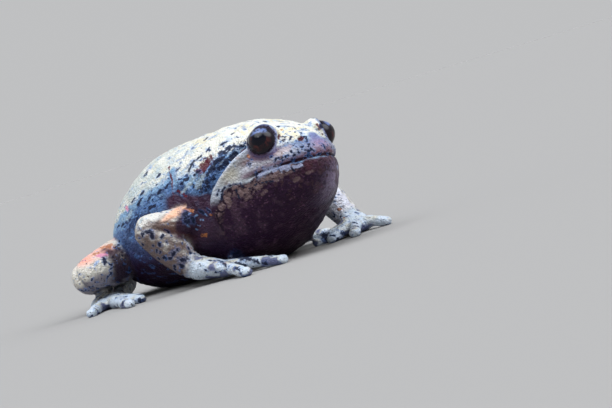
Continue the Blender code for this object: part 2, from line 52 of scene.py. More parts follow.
SIDES = {"right": -1, "left": 1}
LENS_PX = 2212.6
PICTURE = (612, 408)
SENSOR = 36.0
CAMERA_AZIMUTH, CAMERA_ELEVATION, CAMERA_ROLL = 47.34, 2.5, -16.97
CAMERA_DISTANCE, AIM_BEHIND_EYE, AIM_HEIGHT = 380.0, 0.55, 8.27
NEAREST_SEEN = 10.0

eye_centres = {}
for side in SIDES:
    low, high = (Vector(corner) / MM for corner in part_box(f"eye_{side}"))
    eye_centres[side] = (low + high) / 2

azimuth, elevation, roll = (math.radians(v) for v in (CAMERA_AZIMUTH, CAMERA_ELEVATION, CAMERA_ROLL))
back = Vector(
    (math.sin(azimuth) * math.cos(elevation), -math.cos(azimuth) * math.cos(elevation), math.sin(elevation))
)
level = Vector((math.cos(azimuth), math.sin(azimuth), 0))
upright = back.cross(level)
view_right = level * math.cos(roll) + upright * math.sin(roll)
view_up = upright * math.cos(roll) - level * math.sin(roll)
aim = Vector((eye_centres["right"].x - AIM_BEHIND_EYE, 0, AIM_HEIGHT))
eye_point = aim + back * CAMERA_DISTANCE

bpy.ops.object.camera_add()
camera = bpy.context.object
camera.name = "camera"
camera.data.sensor_width = SENSOR
camera.data.lens = LENS_PX * SENSOR / PICTURE[0]
camera.data.clip_start = NEAREST_SEEN * MM
place = Matrix((view_right, view_up, back)).transposed().to_4x4()
place.translation = eye_point * MM
camera.matrix_world = place
bpy.context.scene.camera = camera

# The skin.
# One unbroken moist hide over head, trunk and limbs. It is cast over the solids: copies of the flesh nodes
# are merged, swollen until they meet, drawn over with one fine mesh, rubbed smooth and shrunk back to size.
CAST_SWELL = 0.22
SKIN_GRAIN = 0.318
EYE_RADIUS = 2.55
EYE_BED_RADIUS = 2.4
RUBS = 40
RUBBING = {"head": 1.0, "torso": 1.0, "upper_arm": 0.6, "forearm": 0.55, "thigh": 0.7, "shank": 0.6}
HAND_RUBBING = 0.2
BEND_RUBS, BEND_WIDTH, BEND_REACH, LEAST_BEND = 90, 1.1, 2.0, 0.02
ELBOW_POINT, ELBOW_POINT_FADE = 0.9, 1.6
LEAST_SHRINK = 0.35
WELD = 0.001

flesh = [name for name in nodes if not name.startswith("eye")]
bpy.ops.object.select_all(action="DESELECT")
for name in flesh:
    copy = bpy.data.objects.new("skin", nodes[name].data.copy())
    bpy.context.collection.objects.link(copy)
    copy.select_set(True)
    bpy.context.view_layer.objects.active = copy
bpy.ops.object.join()
skin = bpy.context.object
skin.name = skin.data.name = "skin"
bpy.ops.object.mode_set(mode="EDIT")
bpy.ops.mesh.select_all(action="SELECT")
bpy.ops.mesh.remove_doubles(threshold=WELD * MM)
bpy.ops.object.mode_set(mode="OBJECT")


def worked(obj, kind, **settings):
    """Puts one modifier on the piece and applies it at once."""
    bpy.context.view_layer.objects.active = obj
    modifier = obj.modifiers.new(kind.lower(), kind)
    for name, value in settings.items():
        setattr(modifier, name, value)
    bpy.ops.object.modifier_apply(modifier=modifier.name)


def points_of(obj):
    """A piece's points in millimetres."""
    co = np.zeros(len(obj.data.vertices) * 3)
    obj.data.vertices.foreach_get("co", co)
    return co.reshape(-1, 3) / MM


def normals_of(obj):
    """A piece's outward directions, one for each point."""
    n = np.zeros(len(obj.data.vertices) * 3)
    obj.data.vertices.foreach_get("normal", n)
    return n.reshape(-1, 3)


def set_points(obj, co):
    """Moves a piece's points to places given in millimetres."""
    obj.data.vertices.foreach_set("co", (co * MM).ravel())
    obj.data.update()


def eased(t):
    """0 below 0, 1 above 1, and a smooth rise between."""
    t = np.clip(t, 0, 1)
    return t * t * (3 - 2 * t)


def bell(distance, width):
    """1 at nought, falling away on both sides within about the width."""
    return np.exp(-((distance / width) ** 2))


worked(skin, "DISPLACE", strength=CAST_SWELL * MM, mid_level=0)
for centre in eye_centres.values():
    bpy.ops.mesh.primitive_uv_sphere_add(
        segments=48, ring_count=32, radius=EYE_BED_RADIUS * MM, location=centre * MM
    )
    skin.select_set(True)
    bpy.context.view_layer.objects.active = skin
    bpy.ops.object.join()
worked(skin, "REMESH", mode="VOXEL", voxel_size=SKIN_GRAIN * MM)

points = points_of(skin)
elbow_out = {side: max(abs(v.co.y) for v in nodes[f"forearm_{side}"].data.vertices) / MM for side in SIDES}


def distance_to(node, reach=4.0):
    """How far each skin point is from a CAD node's surface, in millimetres, up to a reach."""
    solid = nodes[node].data
    tree = BVHTree.FromPolygons(
        [v.co / MM for v in solid.vertices], [tuple(face.vertices) for face in solid.polygons]
    )
    low, high = (np.array(corner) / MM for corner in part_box(node))
    far = np.full(len(points), reach)
    for i in np.nonzero(np.all((points > low - reach) & (points < high + reach), axis=1))[0]:
        hit = tree.find_nearest(points[i], reach)
        if hit[0] is not None:
            far[i] = hit[3]
    return far


away = {name: distance_to(name) for name in flesh}


def share_of(*starts, blend=0.8):
    """How much of each skin point belongs to the nodes whose names start so, blended over the joints."""
    own = np.min([away[n] for n in flesh if n.startswith(starts)], axis=0)
    other = np.min([away[n] for n in flesh if not n.startswith(starts)], axis=0)
    return eased(0.5 + (other - own) / (2 * blend))


def weighted(name, weights):
    """Keeps a weight for each skin point under a name that a modifier can be given."""
    group = skin.vertex_groups.new(name=name)
    for i, weight in enumerate(np.clip(weights, 0, 1)):
        group.add([i], float(weight), "REPLACE")
    return name


rubbed = np.full(len(points), HAND_RUBBING)
for start, amount in RUBBING.items():
    rubbed += (amount - HAND_RUBBING) * share_of(start)
worked(skin, "SMOOTH", iterations=RUBS, factor=0.5, vertex_group=weighted("rub", rubbed))
bent = np.zeros(len(points))
for side in SIDES:
    for one, other in (("upper_arm", "forearm"), ("thigh", "shank")):
        first, second = away[f"{one}_{side}"], away[f"{other}_{side}"]
        at_bend = bell(first - second, BEND_WIDTH) * eased(BEND_REACH - np.minimum(first, second))
        if one == "upper_arm":
            at_bend *= 1 - eased((elbow_out[side] - np.abs(points[:, 1]) - ELBOW_POINT) / ELBOW_POINT_FADE)
        bent = np.maximum(bent, at_bend)
bent[bent <= LEAST_BEND] = 0
worked(skin, "SMOOTH", iterations=BEND_RUBS, factor=0.5, vertex_group=weighted("bend", bent))
shrink = weighted("shrink", LEAST_SHRINK + (1 - LEAST_SHRINK) * rubbed)
worked(skin, "DISPLACE", strength=-CAST_SWELL * MM, mid_level=0, vertex_group=shrink)
skin.vertex_groups.clear()

# The head's modelling.
# Lids round the eyes, the line of the mouth with its lips, the nostrils and the fold that runs down behind
# the cheek, all pressed into the skin. Their places are measured from the middle between the eyes.
EYE_OUTLOOK = (0.55, 0.78, 0.30)
LID_START_DEG, LID_EDGE_DEG, LID_HOLD_DEG, LID_END_DEG = 67.5, 73.5, 90.0, 120.0
LID_REACH, LID_SLOPE, LID_FAR, LID_FADE = 2.68, 0.013, 5.0, 1.6
LID_CREASE, LID_CREASE_DEG, LID_CREASE_WIDTH_DEG = 0.06, 87.0, 4.5
BROW_HEIGHT, BROW_START_DEG, BROW_FULL_DEG = 0.40, 62.0, 80.0
ORBIT_GROOVE, ORBIT_GROOVE_REACH, ORBIT_GROOVE_WIDTH = 0.65, 4.35, 0.75
MOUTH_CORNER, MOUTH_RISE, MOUTH_DROOP, MOUTH_TAPER = (-3.4, -5.2), 0.11, 0.5, 2.6
MOUTH_DEPTH, MOUTH_WIDTH = 0.42, 0.24
UPPER_LIP_HEIGHT, UPPER_LIP_RISE, UPPER_LIP_WIDTH, UPPER_LIP_BACK = 0.16, 1.3, 0.8, -4.5
LOWER_LIP_HEIGHT, LOWER_LIP_DROP, LOWER_LIP_WIDTH = 0.05, 0.6, 0.4
NOSTRIL, NOSTRIL_RADIUS, NOSTRIL_DEPTH = (5.15, 2.4, -0.75), 0.4, 0.55
NOSTRIL_RIM, NOSTRIL_RIM_RADIUS, NOSTRIL_RIM_WIDTH = 0.12, 0.85, 0.3
FOLD_START, FOLD_LEAN, FOLD_BOW, FOLD_LOW_BOW, FOLD_LEVEL = 8.2, 0.91, 0.068, 0.125, 4.7
FOLD_TOP, FOLD_FOOT, FOLD_INNER_END, FOLD_CLEAR_OF_EYE = 1.6, -13.3, 5.0, 3.3
FOLD_RIM, FOLD_RIM_AHEAD, FOLD_RIM_WIDTH = 0.36, 0.75, 0.7
FOLD_GROOVE, FOLD_GROOVE_BEHIND, FOLD_GROOVE_WIDTH = 0.75, 0.3, 0.55
EYE_BAG, EYE_BAG_HEIGHT, EYE_BAG_RADII = (0.6, 8.2, -2.9), 0.16, (2.6, 2.0, 0.8)
BAG_CREASE, BAG_CREASE_RISE, BAG_CREASE_SLOPE, BAG_CREASE_WIDTH = 0.09, 2.15, 0.10, 0.32
BAG_CREASE_BACK, BAG_CREASE_FRONT = -3.6, 4.4

across = (eye_centres["left"] - eye_centres["right"]).normalized()
forward = across.cross(Vector((0, 0, 1))).normalized()
over = forward.cross(across)
head_middle = (eye_centres["left"] + eye_centres["right"]) / 2


def in_head(co):
    """Points as (ahead, to the left, above) of the middle between the eyes."""
    return (co - np.array(head_middle)) @ np.array((forward, across, over)).T


points = points_of(skin)
eye_look, eye_reach, eye_angle, lid_reach = {}, {}, {}, {}
for side, sign in SIDES.items():
    outlook = Vector((EYE_OUTLOOK[0], sign * EYE_OUTLOOK[1], EYE_OUTLOOK[2])).normalized()
    look = forward * outlook.x + across * outlook.y + over * outlook.z
    offset = points - np.array(eye_centres[side])
    reach = np.linalg.norm(offset, axis=1)
    angle = np.degrees(np.arccos(np.clip(offset @ np.array(look) / reach, -1, 1)))
    inward = -sign * (offset @ np.array(across)) / reach
    upward = offset @ np.array(over) / reach
    lid = LID_REACH + LID_SLOPE * np.maximum(0, angle - LID_EDGE_DEG)
    brow = eased((angle - BROW_START_DEG) / (BROW_FULL_DEG - BROW_START_DEG)) * eased((upward - 0.05) / 0.45)
    brow *= eased((inward + 0.35) / 0.6)
    lid += BROW_HEIGHT * brow
    hold = eased((LID_END_DEG - angle) / (LID_END_DEG - LID_HOLD_DEG)) * eased((LID_FAR - reach) / LID_FADE)
    drawn = reach + (lid - reach) * hold
    drawn -= LID_CREASE * bell(angle - LID_CREASE_DEG, LID_CREASE_WIDTH_DEG) * hold
    shut = eased((angle - LID_START_DEG) / (LID_EDGE_DEG - LID_START_DEG))
    bed = np.where(reach < LID_FAR - LID_FADE, EYE_BED_RADIUS, reach)
    drawn = np.where(angle < LID_EDGE_DEG, bed + (drawn - bed) * shut, drawn)
    inner_side = eased((inward - 0.15) / 0.5) * eased((upward + 0.1) / 0.4) * eased((reach - 3.2) / 0.5)
    drawn -= ORBIT_GROOVE * bell(reach - ORBIT_GROOVE_REACH, ORBIT_GROOVE_WIDTH) * inner_side
    points += offset * ((drawn - reach) / reach)[:, None]
    eye_look[side], eye_reach[side], eye_angle[side], lid_reach[side] = look, reach, angle, drawn
set_points(skin, points)

ahead, left, above = in_head(points).T
past_corner = ahead - MOUTH_CORNER[0]
over_mouth = above - MOUTH_CORNER[1] - MOUTH_RISE * past_corner + MOUTH_DROOP * bell(past_corner, MOUTH_TAPER)
along_mouth = eased(past_corner / MOUTH_TAPER)
on_head = share_of("head", blend=1.5)
move = -MOUTH_DEPTH * bell(over_mouth, MOUTH_WIDTH) * along_mouth
upper_lip = UPPER_LIP_HEIGHT * bell(over_mouth - UPPER_LIP_RISE, UPPER_LIP_WIDTH)
move += upper_lip * eased((ahead - UPPER_LIP_BACK) / 3.0)
move += LOWER_LIP_HEIGHT * bell(over_mouth + LOWER_LIP_DROP, LOWER_LIP_WIDTH) * along_mouth
nostril_near = np.full(len(points), np.inf)
for sign in SIDES.values():
    pit = np.linalg.norm(in_head(points) - np.array((NOSTRIL[0], sign * NOSTRIL[1], NOSTRIL[2])), axis=1)
    nostril_near = np.minimum(nostril_near, pit)
    bag = (in_head(points) - np.array((EYE_BAG[0], sign * EYE_BAG[1], EYE_BAG[2]))) / np.array(EYE_BAG_RADII)
    move += EYE_BAG_HEIGHT * bell(np.linalg.norm(bag, axis=1), 1.0)
bag_line = over_mouth - BAG_CREASE_RISE - BAG_CREASE_SLOPE * (ahead - EYE_BAG[0])
bag_crease = BAG_CREASE * bell(bag_line, BAG_CREASE_WIDTH) * eased((ahead - BAG_CREASE_BACK) / 1.5)
move -= bag_crease * eased((BAG_CREASE_FRONT - ahead) / 2.5)
nostril_rim = NOSTRIL_RIM * bell(nostril_near - NOSTRIL_RIM_RADIUS, NOSTRIL_RIM_WIDTH)
move += nostril_rim - NOSTRIL_DEPTH * bell(nostril_near, NOSTRIL_RADIUS)
move *= on_head
fold_up = above + FOLD_LEVEL
fold_bow = np.where(fold_up < 0, FOLD_LOW_BOW, FOLD_BOW)
fold_up = np.maximum(fold_up, -FOLD_LEAN / (2 * FOLD_LOW_BOW))
fold_slope = FOLD_LEAN + 2 * fold_bow * fold_up
past_fold = (ahead + FOLD_START - FOLD_LEAN * fold_up - fold_bow * fold_up**2) / np.sqrt(1 + fold_slope**2)
fold_here = eased((FOLD_TOP - above) / 2.0) * eased((above - FOLD_FOOT) / 3.0)
fold_here *= eased((np.abs(left) - FOLD_INNER_END) / 2.0)
fold_here *= np.maximum(share_of("head", blend=2.5), share_of("torso", blend=2.5))
for side in SIDES:
    fold_here *= eased(eye_reach[side] - FOLD_CLEAR_OF_EYE)
rim = bell(past_fold - FOLD_RIM_AHEAD, FOLD_RIM_WIDTH)
groove = bell(past_fold + FOLD_GROOVE_BEHIND, FOLD_GROOVE_WIDTH)
move += (FOLD_RIM * rim - FOLD_GROOVE * groove) * fold_here
points += normals_of(skin) * move[:, None]
set_points(skin, points)

# Creases, wrinkles and grain of the skin.
# The skin is loose: it folds where limbs bend and join, creases at the wrists, wrinkles along the arms and
# hangs in pleats above the armpit. Low grains cover it, larger on head and trunk than on the limbs.
WRINKLE_DEPTH, WRINKLES_ROUND = 0.07, 13
WRIST_CREASE, WRIST_CREASE_WIDTH, WRIST_CREASE_GAP = 0.22, 0.22, 0.75
JOINT_CREASE, JOINT_CREASE_WIDTH = 0.5, 0.45
PLEAT_DEPTH, PLEAT_WIDTH, PLEAT_SLANT = 0.14, 1.7, 0.5
PLEATS_MIDDLE_X, PLEATS_LONG, PLEATS_LOW, PLEATS_HIGH, PLEATS_INNER_END = 4.0, 5.0, 9.0, 20.5, 8.0
LUMP_HEIGHT, LUMP_SIZE = 0.17, 2.3
GRAIN_HEIGHT, GRAIN_SIZE = 0.10, 1.0
FINE_GRAIN_HEIGHT, FINE_GRAIN_SIZE = 0.045, 0.62
SMOOTH_LID_DEG, SMOOTH_LID_REACH = 84.0, 3.4


def axis_of(node):
    """The ends of a long node's own axis, the upper end first."""
    co = np.array([v.co for v in nodes[node].data.vertices]) / MM
    middle = co.mean(0)
    way = np.linalg.svd(co - middle, full_matrices=False)[2][0]
    along = (co - middle) @ way
    ends = [middle + way * along.min(), middle + way * along.max()]
    return sorted(ends, key=lambda end: -end[2])


def noisy(co, size, seed=0.0):
    """Smooth noise from -1 to 1 at each point, with grains of about the size."""
    shift = Vector((seed, seed * 1.7, -seed))
    return np.array([noise.noise(Vector(p) / size + shift) for p in co])


def joined_at(one, other, width):
    """A line, 1 at its middle, where the skin passes from one node's limb to the other's."""
    return bell(away[one] - away[other], width) * eased((1.6 - np.minimum(away[one], away[other])) / 0.8)


normals = normals_of(skin)
move = np.zeros(len(points))
for side in SIDES:
    for start, depth in (("upper_arm", 0.6), ("forearm", 1.0)):
        upper_end, lower_end = axis_of(f"{start}_{side}")
        way = (lower_end - upper_end) / np.linalg.norm(lower_end - upper_end)
        offset = points - upper_end
        along = offset @ way
        out = offset - along[:, None] * way
        side_way = np.cross(way, (0.0, 0.0, 1.0))
        side_way /= np.linalg.norm(side_way)
        turn = np.arctan2(out @ np.cross(side_way, way), out @ side_way)
        wobble = 3.2 * noisy(points, 2.4, 3.0) + 1.3 * noisy(points, 1.0, 4.0)
        wrinkle = np.sin(WRINKLES_ROUND * turn + wobble + 0.7 * along)
        move += depth * WRINKLE_DEPTH * wrinkle * share_of(f"{start}_{side}")
    past_wrist = away[f"forearm_{side}"] - away[f"hand_{side}"]
    at_wrist = eased((1.4 - np.minimum(away[f"forearm_{side}"], away[f"hand_{side}"])) / 0.5)
    for gap in (-WRIST_CREASE_GAP, WRIST_CREASE_GAP):
        move -= WRIST_CREASE * bell(past_wrist - gap, WRIST_CREASE_WIDTH) * at_wrist
    for one, other, depth in (
        ("upper_arm", "forearm", 1.3), ("thigh", "shank", 1.0), ("shank", "foot", 0.7),
        ("torso", "upper_arm", 0.7), ("torso", "thigh", 0.9),
    ):
        first = one if one == "torso" else f"{one}_{side}"
        crease = JOINT_CREASE * depth * joined_at(first, f"{other}_{side}", JOINT_CREASE_WIDTH)
        if one == "upper_arm":
            crease *= eased((elbow_out[side] - np.abs(points[:, 1]) - 1.2) / 1.4)
        move -= crease
x, y, z = points.T
pleat = np.sin(2 * math.pi * (x - PLEAT_SLANT * (20 - z)) / PLEAT_WIDTH + 1.5 * noisy(points, 3.0, 8.0))
pleated = bell(x - PLEATS_MIDDLE_X, PLEATS_LONG) * eased((z - PLEATS_LOW) / 3.0)
pleated *= eased((PLEATS_HIGH - z) / 2.5) * share_of("torso")
pleated *= eased((np.abs(y) - PLEATS_INNER_END) / 2.0)
move += PLEAT_DEPTH * pleat * pleated
body = share_of("head", "torso")
lump = noisy(points, LUMP_SIZE, 9.0)
grain = noisy(points, GRAIN_SIZE, 1.0)
move += LUMP_HEIGHT * lump * (0.35 + 0.65 * body)
move += GRAIN_HEIGHT * np.abs(grain) * (0.4 + 0.6 * body)
move += FINE_GRAIN_HEIGHT * noisy(points, FINE_GRAIN_SIZE, 2.0)
clear_of_lids = np.ones(len(points))
for side in SIDES:
    behind_lid = eased((eye_angle[side] - SMOOTH_LID_DEG) / 20)
    clear = np.maximum(behind_lid, eased((lid_reach[side] - SMOOTH_LID_REACH) / 0.6))
    clear_of_lids = np.minimum(clear_of_lids, clear)
move *= clear_of_lids
points += normals * move[:, None]
points[:, 2] = np.maximum(points[:, 2], 0.0)
set_points(skin, points)

# The skin's colours.
# The animal's own: cream back, blue flanks that darken to a near-black purple belly, pale cheeks over a
# dark netted throat, cream and tan arms with an orange shoulder, blue-white hands and cream thighs.
# Painted light lies over them: painted shade on the belly, chest, throat, armpits, hips and elbows, under
# the eyes and lips and under the limbs; painted highlights on the arms' tops and the cheek fold's rim;
# painted light on the chin's side; and a painted reflection of the sky on the snout.
FLANK_BLUE = (0.060, 0.135, 0.29)
FLANK_PALE = (0.17, 0.29, 0.42)
REAR_BLUE = (0.055, 0.120, 0.29)
DEEP_BLUE = (0.040, 0.038, 0.105)
BELLY = (0.018, 0.006, 0.023)
ARMPIT = (0.044, 0.018, 0.040)
CHEST = (0.042, 0.020, 0.040)
THROAT = (0.024, 0.007, 0.026)
CHIN_RED = (0.060, 0.018, 0.030)
CHIN_LIT_VIOLET = (0.26, 0.20, 0.33)
CHEEK = (0.36, 0.41, 0.47)
CHEEK_BROWN = (0.20, 0.15, 0.16)
CHEEK_CREAM = (0.45, 0.42, 0.34)
CHEEK_RIM = (0.50, 0.56, 0.68)
LIP_WHITE = (0.46, 0.46, 0.52)
LIP_PURPLE = (0.20, 0.10, 0.16)
LIP_RED = (0.15, 0.05, 0.07)
SNOUT_SKY_REFLECTION = (0.16, 0.19, 0.38)
SNOUT_PINK = (0.30, 0.15, 0.25)
UNDER_EYE = (0.12, 0.06, 0.065)
UNDER_LID_SHADE = (0.12, 0.06, 0.09)
JAW_RIM = (0.25, 0.28, 0.43)
ARM_TAN = (0.150, 0.105, 0.095)
ARM_CREAM = (0.69, 0.68, 0.63)
ARM_INNER = (0.64, 0.65, 0.74)
SHOULDER_PINK = (0.17, 0.088, 0.068)
SHOULDER_ORANGE = (0.88, 0.44, 0.25)
HAND_PALE = (0.53, 0.61, 0.70)
HAND_CREAM = (0.55, 0.50, 0.34)
HAND_BLUE = (0.055, 0.075, 0.21)
THIGH_CREAM = (0.60, 0.57, 0.50)
THIGH_ORANGE = (0.95, 0.25, 0.15)
LEG_SHADE_GREY = (0.16, 0.14, 0.19)
LID_VIOLET = (0.10, 0.075, 0.18)
LID_BRIGHT = (0.34, 0.38, 0.62)
LID_DARK = (0.018, 0.010, 0.025)
DEEP_FLANK_TOP, CHEST_TOP, BELLY_TOP = 11.5, 13.6, 8.2
ARMPIT_TOP, ARMPIT_TOP_SLOPE = 17.5, 0.24
FLANK_BAND_X, FLANK_BAND_Z, FLANK_BAND_SLOPE = 5.5, 19.0, 0.15
BACK_EDGE_X = (-26, -13.6, -6.5, 1.0, 5.0, 8.0, 12.0)
BACK_EDGE_Z = (10.5, 15.0, 18.0, 20.0, 19.3, 19.7, 20.5)
THROAT_EDGE_AHEAD = (-9.6, -8.9, -7.9, -6.8, -5.5, -3.7, -1.9, 0.0)
THROAT_EDGE_ABOVE = (-12.0, -10.0, -8.1, -6.6, -5.8, -5.9, -5.9, -5.3)
CREAM_SPOT, CREAM_SPOT_RADII = (-5.2, -4.2), (2.2, 1.9)
SNOUT_REFLECTION, SNOUT_REFLECTION_RADII, SNOUT_REFLECTION_SIZE = (6.2, 0.1, -0.7), (1.9, 1.5, 1.5), 1.25
PINK_PATCH, PINK_PATCH_RADII = (6.9, 0.3, -2.2), (1.6, 2.2, 1.1)
JAW_RIM_STEP, SHOULDER_END, LID_PAINT_REACH = 2.6, 2.1, 3.9

normals = normals_of(skin)
head = in_head(points)
ahead, left, above = head.T
x, y, z = points.T
broad = noisy(points, 4.2, 5.0)
middling = noisy(points, 1.9, 6.0)
fine = noisy(points, 0.8, 7.0)
colour = np.zeros((len(points), 3))
colour[:] = FLANK_BLUE


def paint(tint, share):
    """Lays a tint over the colour so far, by each point's share."""
    share = np.clip(share, 0, 1)[:, None]
    colour[:] = colour * (1 - share) + np.array(tint) * share


# the cream back ends at a height that falls towards the rump
up_back = z - np.interp(x, BACK_EDGE_X, BACK_EDGE_Z)
on_snout = eased((ahead + 1.0) / 2.0)
up_back += on_snout * (np.maximum(up_back, above + 2.6) - up_back)
paint(REAR_BLUE, eased((-2.0 - x) / 10.0) * 0.8)
paint(DEEP_BLUE, eased((DEEP_FLANK_TOP - z + 2.0 * broad) / 5.0) * eased(-up_back / 3.0))
armpit_top = ARMPIT_TOP - ARMPIT_TOP_SLOPE * x + 0.6 * middling
armpit = eased((armpit_top - z) / 0.9) * eased((x + 1.0) / 2.5) * eased((np.abs(y) - 9.0) / 2.0)
chest = eased((CHEST_TOP - z + 1.2 * middling) / 1.6) * eased((x - 1.5) / 3.0)
belly = eased((BELLY_TOP - z + 1.4 * broad) / 3.2) * eased((0.45 - normals[:, 2]) / 0.3)
over_band = z - FLANK_BAND_Z + FLANK_BAND_SLOPE * x
flank_band = bell(np.hypot((x - FLANK_BAND_X) / 5.0, over_band / 1.2), 1.0)
flank_band *= eased((np.abs(y) - 9.0) / 2.0)
paint(FLANK_PALE, flank_band * eased(0.75 + 0.9 * pleat) * 0.65)
# painted shade over the skin's own dark: the armpit's recess, the low chest, the belly facing down
paint(ARMPIT, armpit)
paint(CHEST, chest)
paint(BELLY, belly)
unlit = np.max([0.9 * armpit, 0.8 * chest, belly], axis=0)
head_share = share_of("head", "torso") * eased((ahead + 12.0) / 1.5)
before_fold = eased((past_fold - 0.1) / 0.4) * head_share

# the dark throat begins under a line that follows the mouth and then drops behind the cheek
under_lip = 0.35 - 0.3 * eased((ahead - 3.5) / 2.0)
under_cheek = np.interp(ahead, THROAT_EDGE_AHEAD, THROAT_EDGE_ABOVE) - above
under_jaw = np.where(ahead < 0, under_cheek, -under_lip - over_mouth)
under_jaw += 0.45 * middling + 0.3 * fine
cheek_share = before_fold * eased((0.3 - above) / 1.0) * eased((3.5 - ahead) / 3.0)
cheek_share *= eased((above + 9.2) / 2.2)
paint(CHEEK, cheek_share)
paint(LIP_WHITE, cheek_share * eased(0.2 + 1.2 * fine + 0.9 * middling) * 0.6)
cream_spot = np.hypot(*((head[:, [0, 2]] - CREAM_SPOT) / CREAM_SPOT_RADII).T)
paint(CHEEK_CREAM, bell(cream_spot, 1.0) * eased((np.abs(left) - 4) / 2) * cheek_share * 0.9)
paint(CHEEK_BROWN, cheek_share * eased(-0.15 - 1.3 * middling - 0.7 * fine) * 0.6)
rim_fade = eased((above + 9.8) / 2.0)
rim_middle = 0.3 + 0.35 * eased((above + 6.8) / 3.0)
rim_line = bell(past_fold - rim_middle, 0.65 * rim_middle)
# a pale bluish rim on the cheek fold's ridge, partly a painted highlight
paint(CHEEK_RIM, rim_line * fold_here * eased((0.5 - above) / 1.5) * rim_fade * 0.85)
rim_wide = 0.15 + 0.75 * eased((above + 6.8) / 3.0)
throat_share = before_fold * eased(under_jaw / 0.5) * eased((past_fold - rim_wide * rim_fade) / 0.4)
throat_share = np.maximum(throat_share, before_fold * eased((-8.6 - above) / 1.5))
throat_share = np.maximum(throat_share, head_share * eased((9.0 - z) / 3.0) * eased((x - 8.0) / 3.0))
# the throat's own dark purple-brown, deepened by painted shade
paint(THROAT, throat_share)
chin_front = eased((ahead - 3.5) / 3.5)
paint(CHIN_RED, throat_share * chin_front * eased(0.35 + middling + (above + 6.5) / 3.0) * 0.9)
# painted light: a lighter grey-violet on the side of the chin, as if lit from that side
chin_lit_side = bell(np.hypot((left - 2.8) / 2.6, (above + 8.5) / 3.2), 1.0) * eased((ahead - 1.0) / 2.0)
paint(CHIN_LIT_VIOLET, throat_share * chin_lit_side * 0.8)

on_lip = head_share * eased((ahead + 4.2) / 2.0) * eased((over_mouth + 0.05) / 0.2)
paint(LIP_WHITE, on_lip * bell(over_mouth - 1.5, 1.15) * (1 - 0.55 * chin_front))
paint(UNDER_EYE, on_lip * bell(over_mouth - 2.9 - 0.08 * ahead, 0.75) * eased((4.5 - ahead) / 2.0) * 0.95)
# a purple band over the mouth line, partly painted shade under the upper lip's ridge
paint(LIP_PURPLE, on_lip * bell(over_mouth - 0.4, 0.45) * 0.85)
segment = eased(0.5 + 0.9 * np.sin(2 * math.pi * (ahead + 0.4) / JAW_RIM_STEP + middling))
segment *= eased((5.6 - ahead) / 1.2)
jaw_rim = bell(over_mouth + 0.85, 0.42) * eased((ahead + 2.2) / 1.2) * segment
paint(JAW_RIM, jaw_rim * head_share)
lip_tip = head_share * bell(over_mouth - 0.3, 1.1) * eased((ahead - 5.6) / 1.2)
paint(LIP_RED, lip_tip * eased(0.5 + 1.4 * fine))
# a painted reflection of the sky: a purple-blue patch on top of the snout's tip
snout_reflection = np.linalg.norm((head - SNOUT_REFLECTION) / SNOUT_REFLECTION_RADII, axis=1)
snout_reflection_share = eased((SNOUT_REFLECTION_SIZE - snout_reflection + 0.25 * middling) / 0.6) * head_share
paint(SNOUT_SKY_REFLECTION, snout_reflection_share * 0.85)
pink_patch = np.linalg.norm((head - PINK_PATCH) / PINK_PATCH_RADII, axis=1)
paint(SNOUT_PINK, bell(pink_patch, 1.0) * head_share * 0.7)
lids = np.zeros(len(points))
for side in SIDES:
    near = eased((LID_PAINT_REACH - lid_reach[side]) / 0.6)
    lids = np.maximum(lids, eased((83 - eye_angle[side]) / 5) * near)
    from_eye = points - np.array(eye_centres[side])
    aloft_eye = from_eye @ np.array(over) / lid_reach[side]
    toward_snout = from_eye @ np.array(forward) / lid_reach[side]
    # painted shade under each eye, darkest close to the lid
    paint(UNDER_LID_SHADE, eased((103.0 - eye_angle[side]) / 18.0) * near * eased((-0.25 - aloft_eye) / 0.4) * 0.9)
    paint(LID_VIOLET, bell(eye_angle[side] - 80, 6.5) * near * 0.9)
    paint(LID_DARK, eased((75.5 - eye_angle[side]) / 3.0) * near)
    paint(LID_BRIGHT, bell(eye_angle[side] - 76.5, 2.0) * near * eased((toward_snout - 0.45) / 0.3) * 0.8)
paint(CHIN_RED, bell(nostril_near - 0.45, 0.35) * head_share)
paint(LID_DARK, bell(nostril_near, 0.4) * head_share)

arm_share = share_of("upper_arm", "forearm")
paint(ARM_TAN, arm_share)
# the arms' cream, laid thicker on skin facing up: partly painted light
paint(ARM_CREAM, arm_share * eased(0.14 + 0.8 * normals[:, 2] + 0.6 * middling + 0.45 * fine) * 0.9)
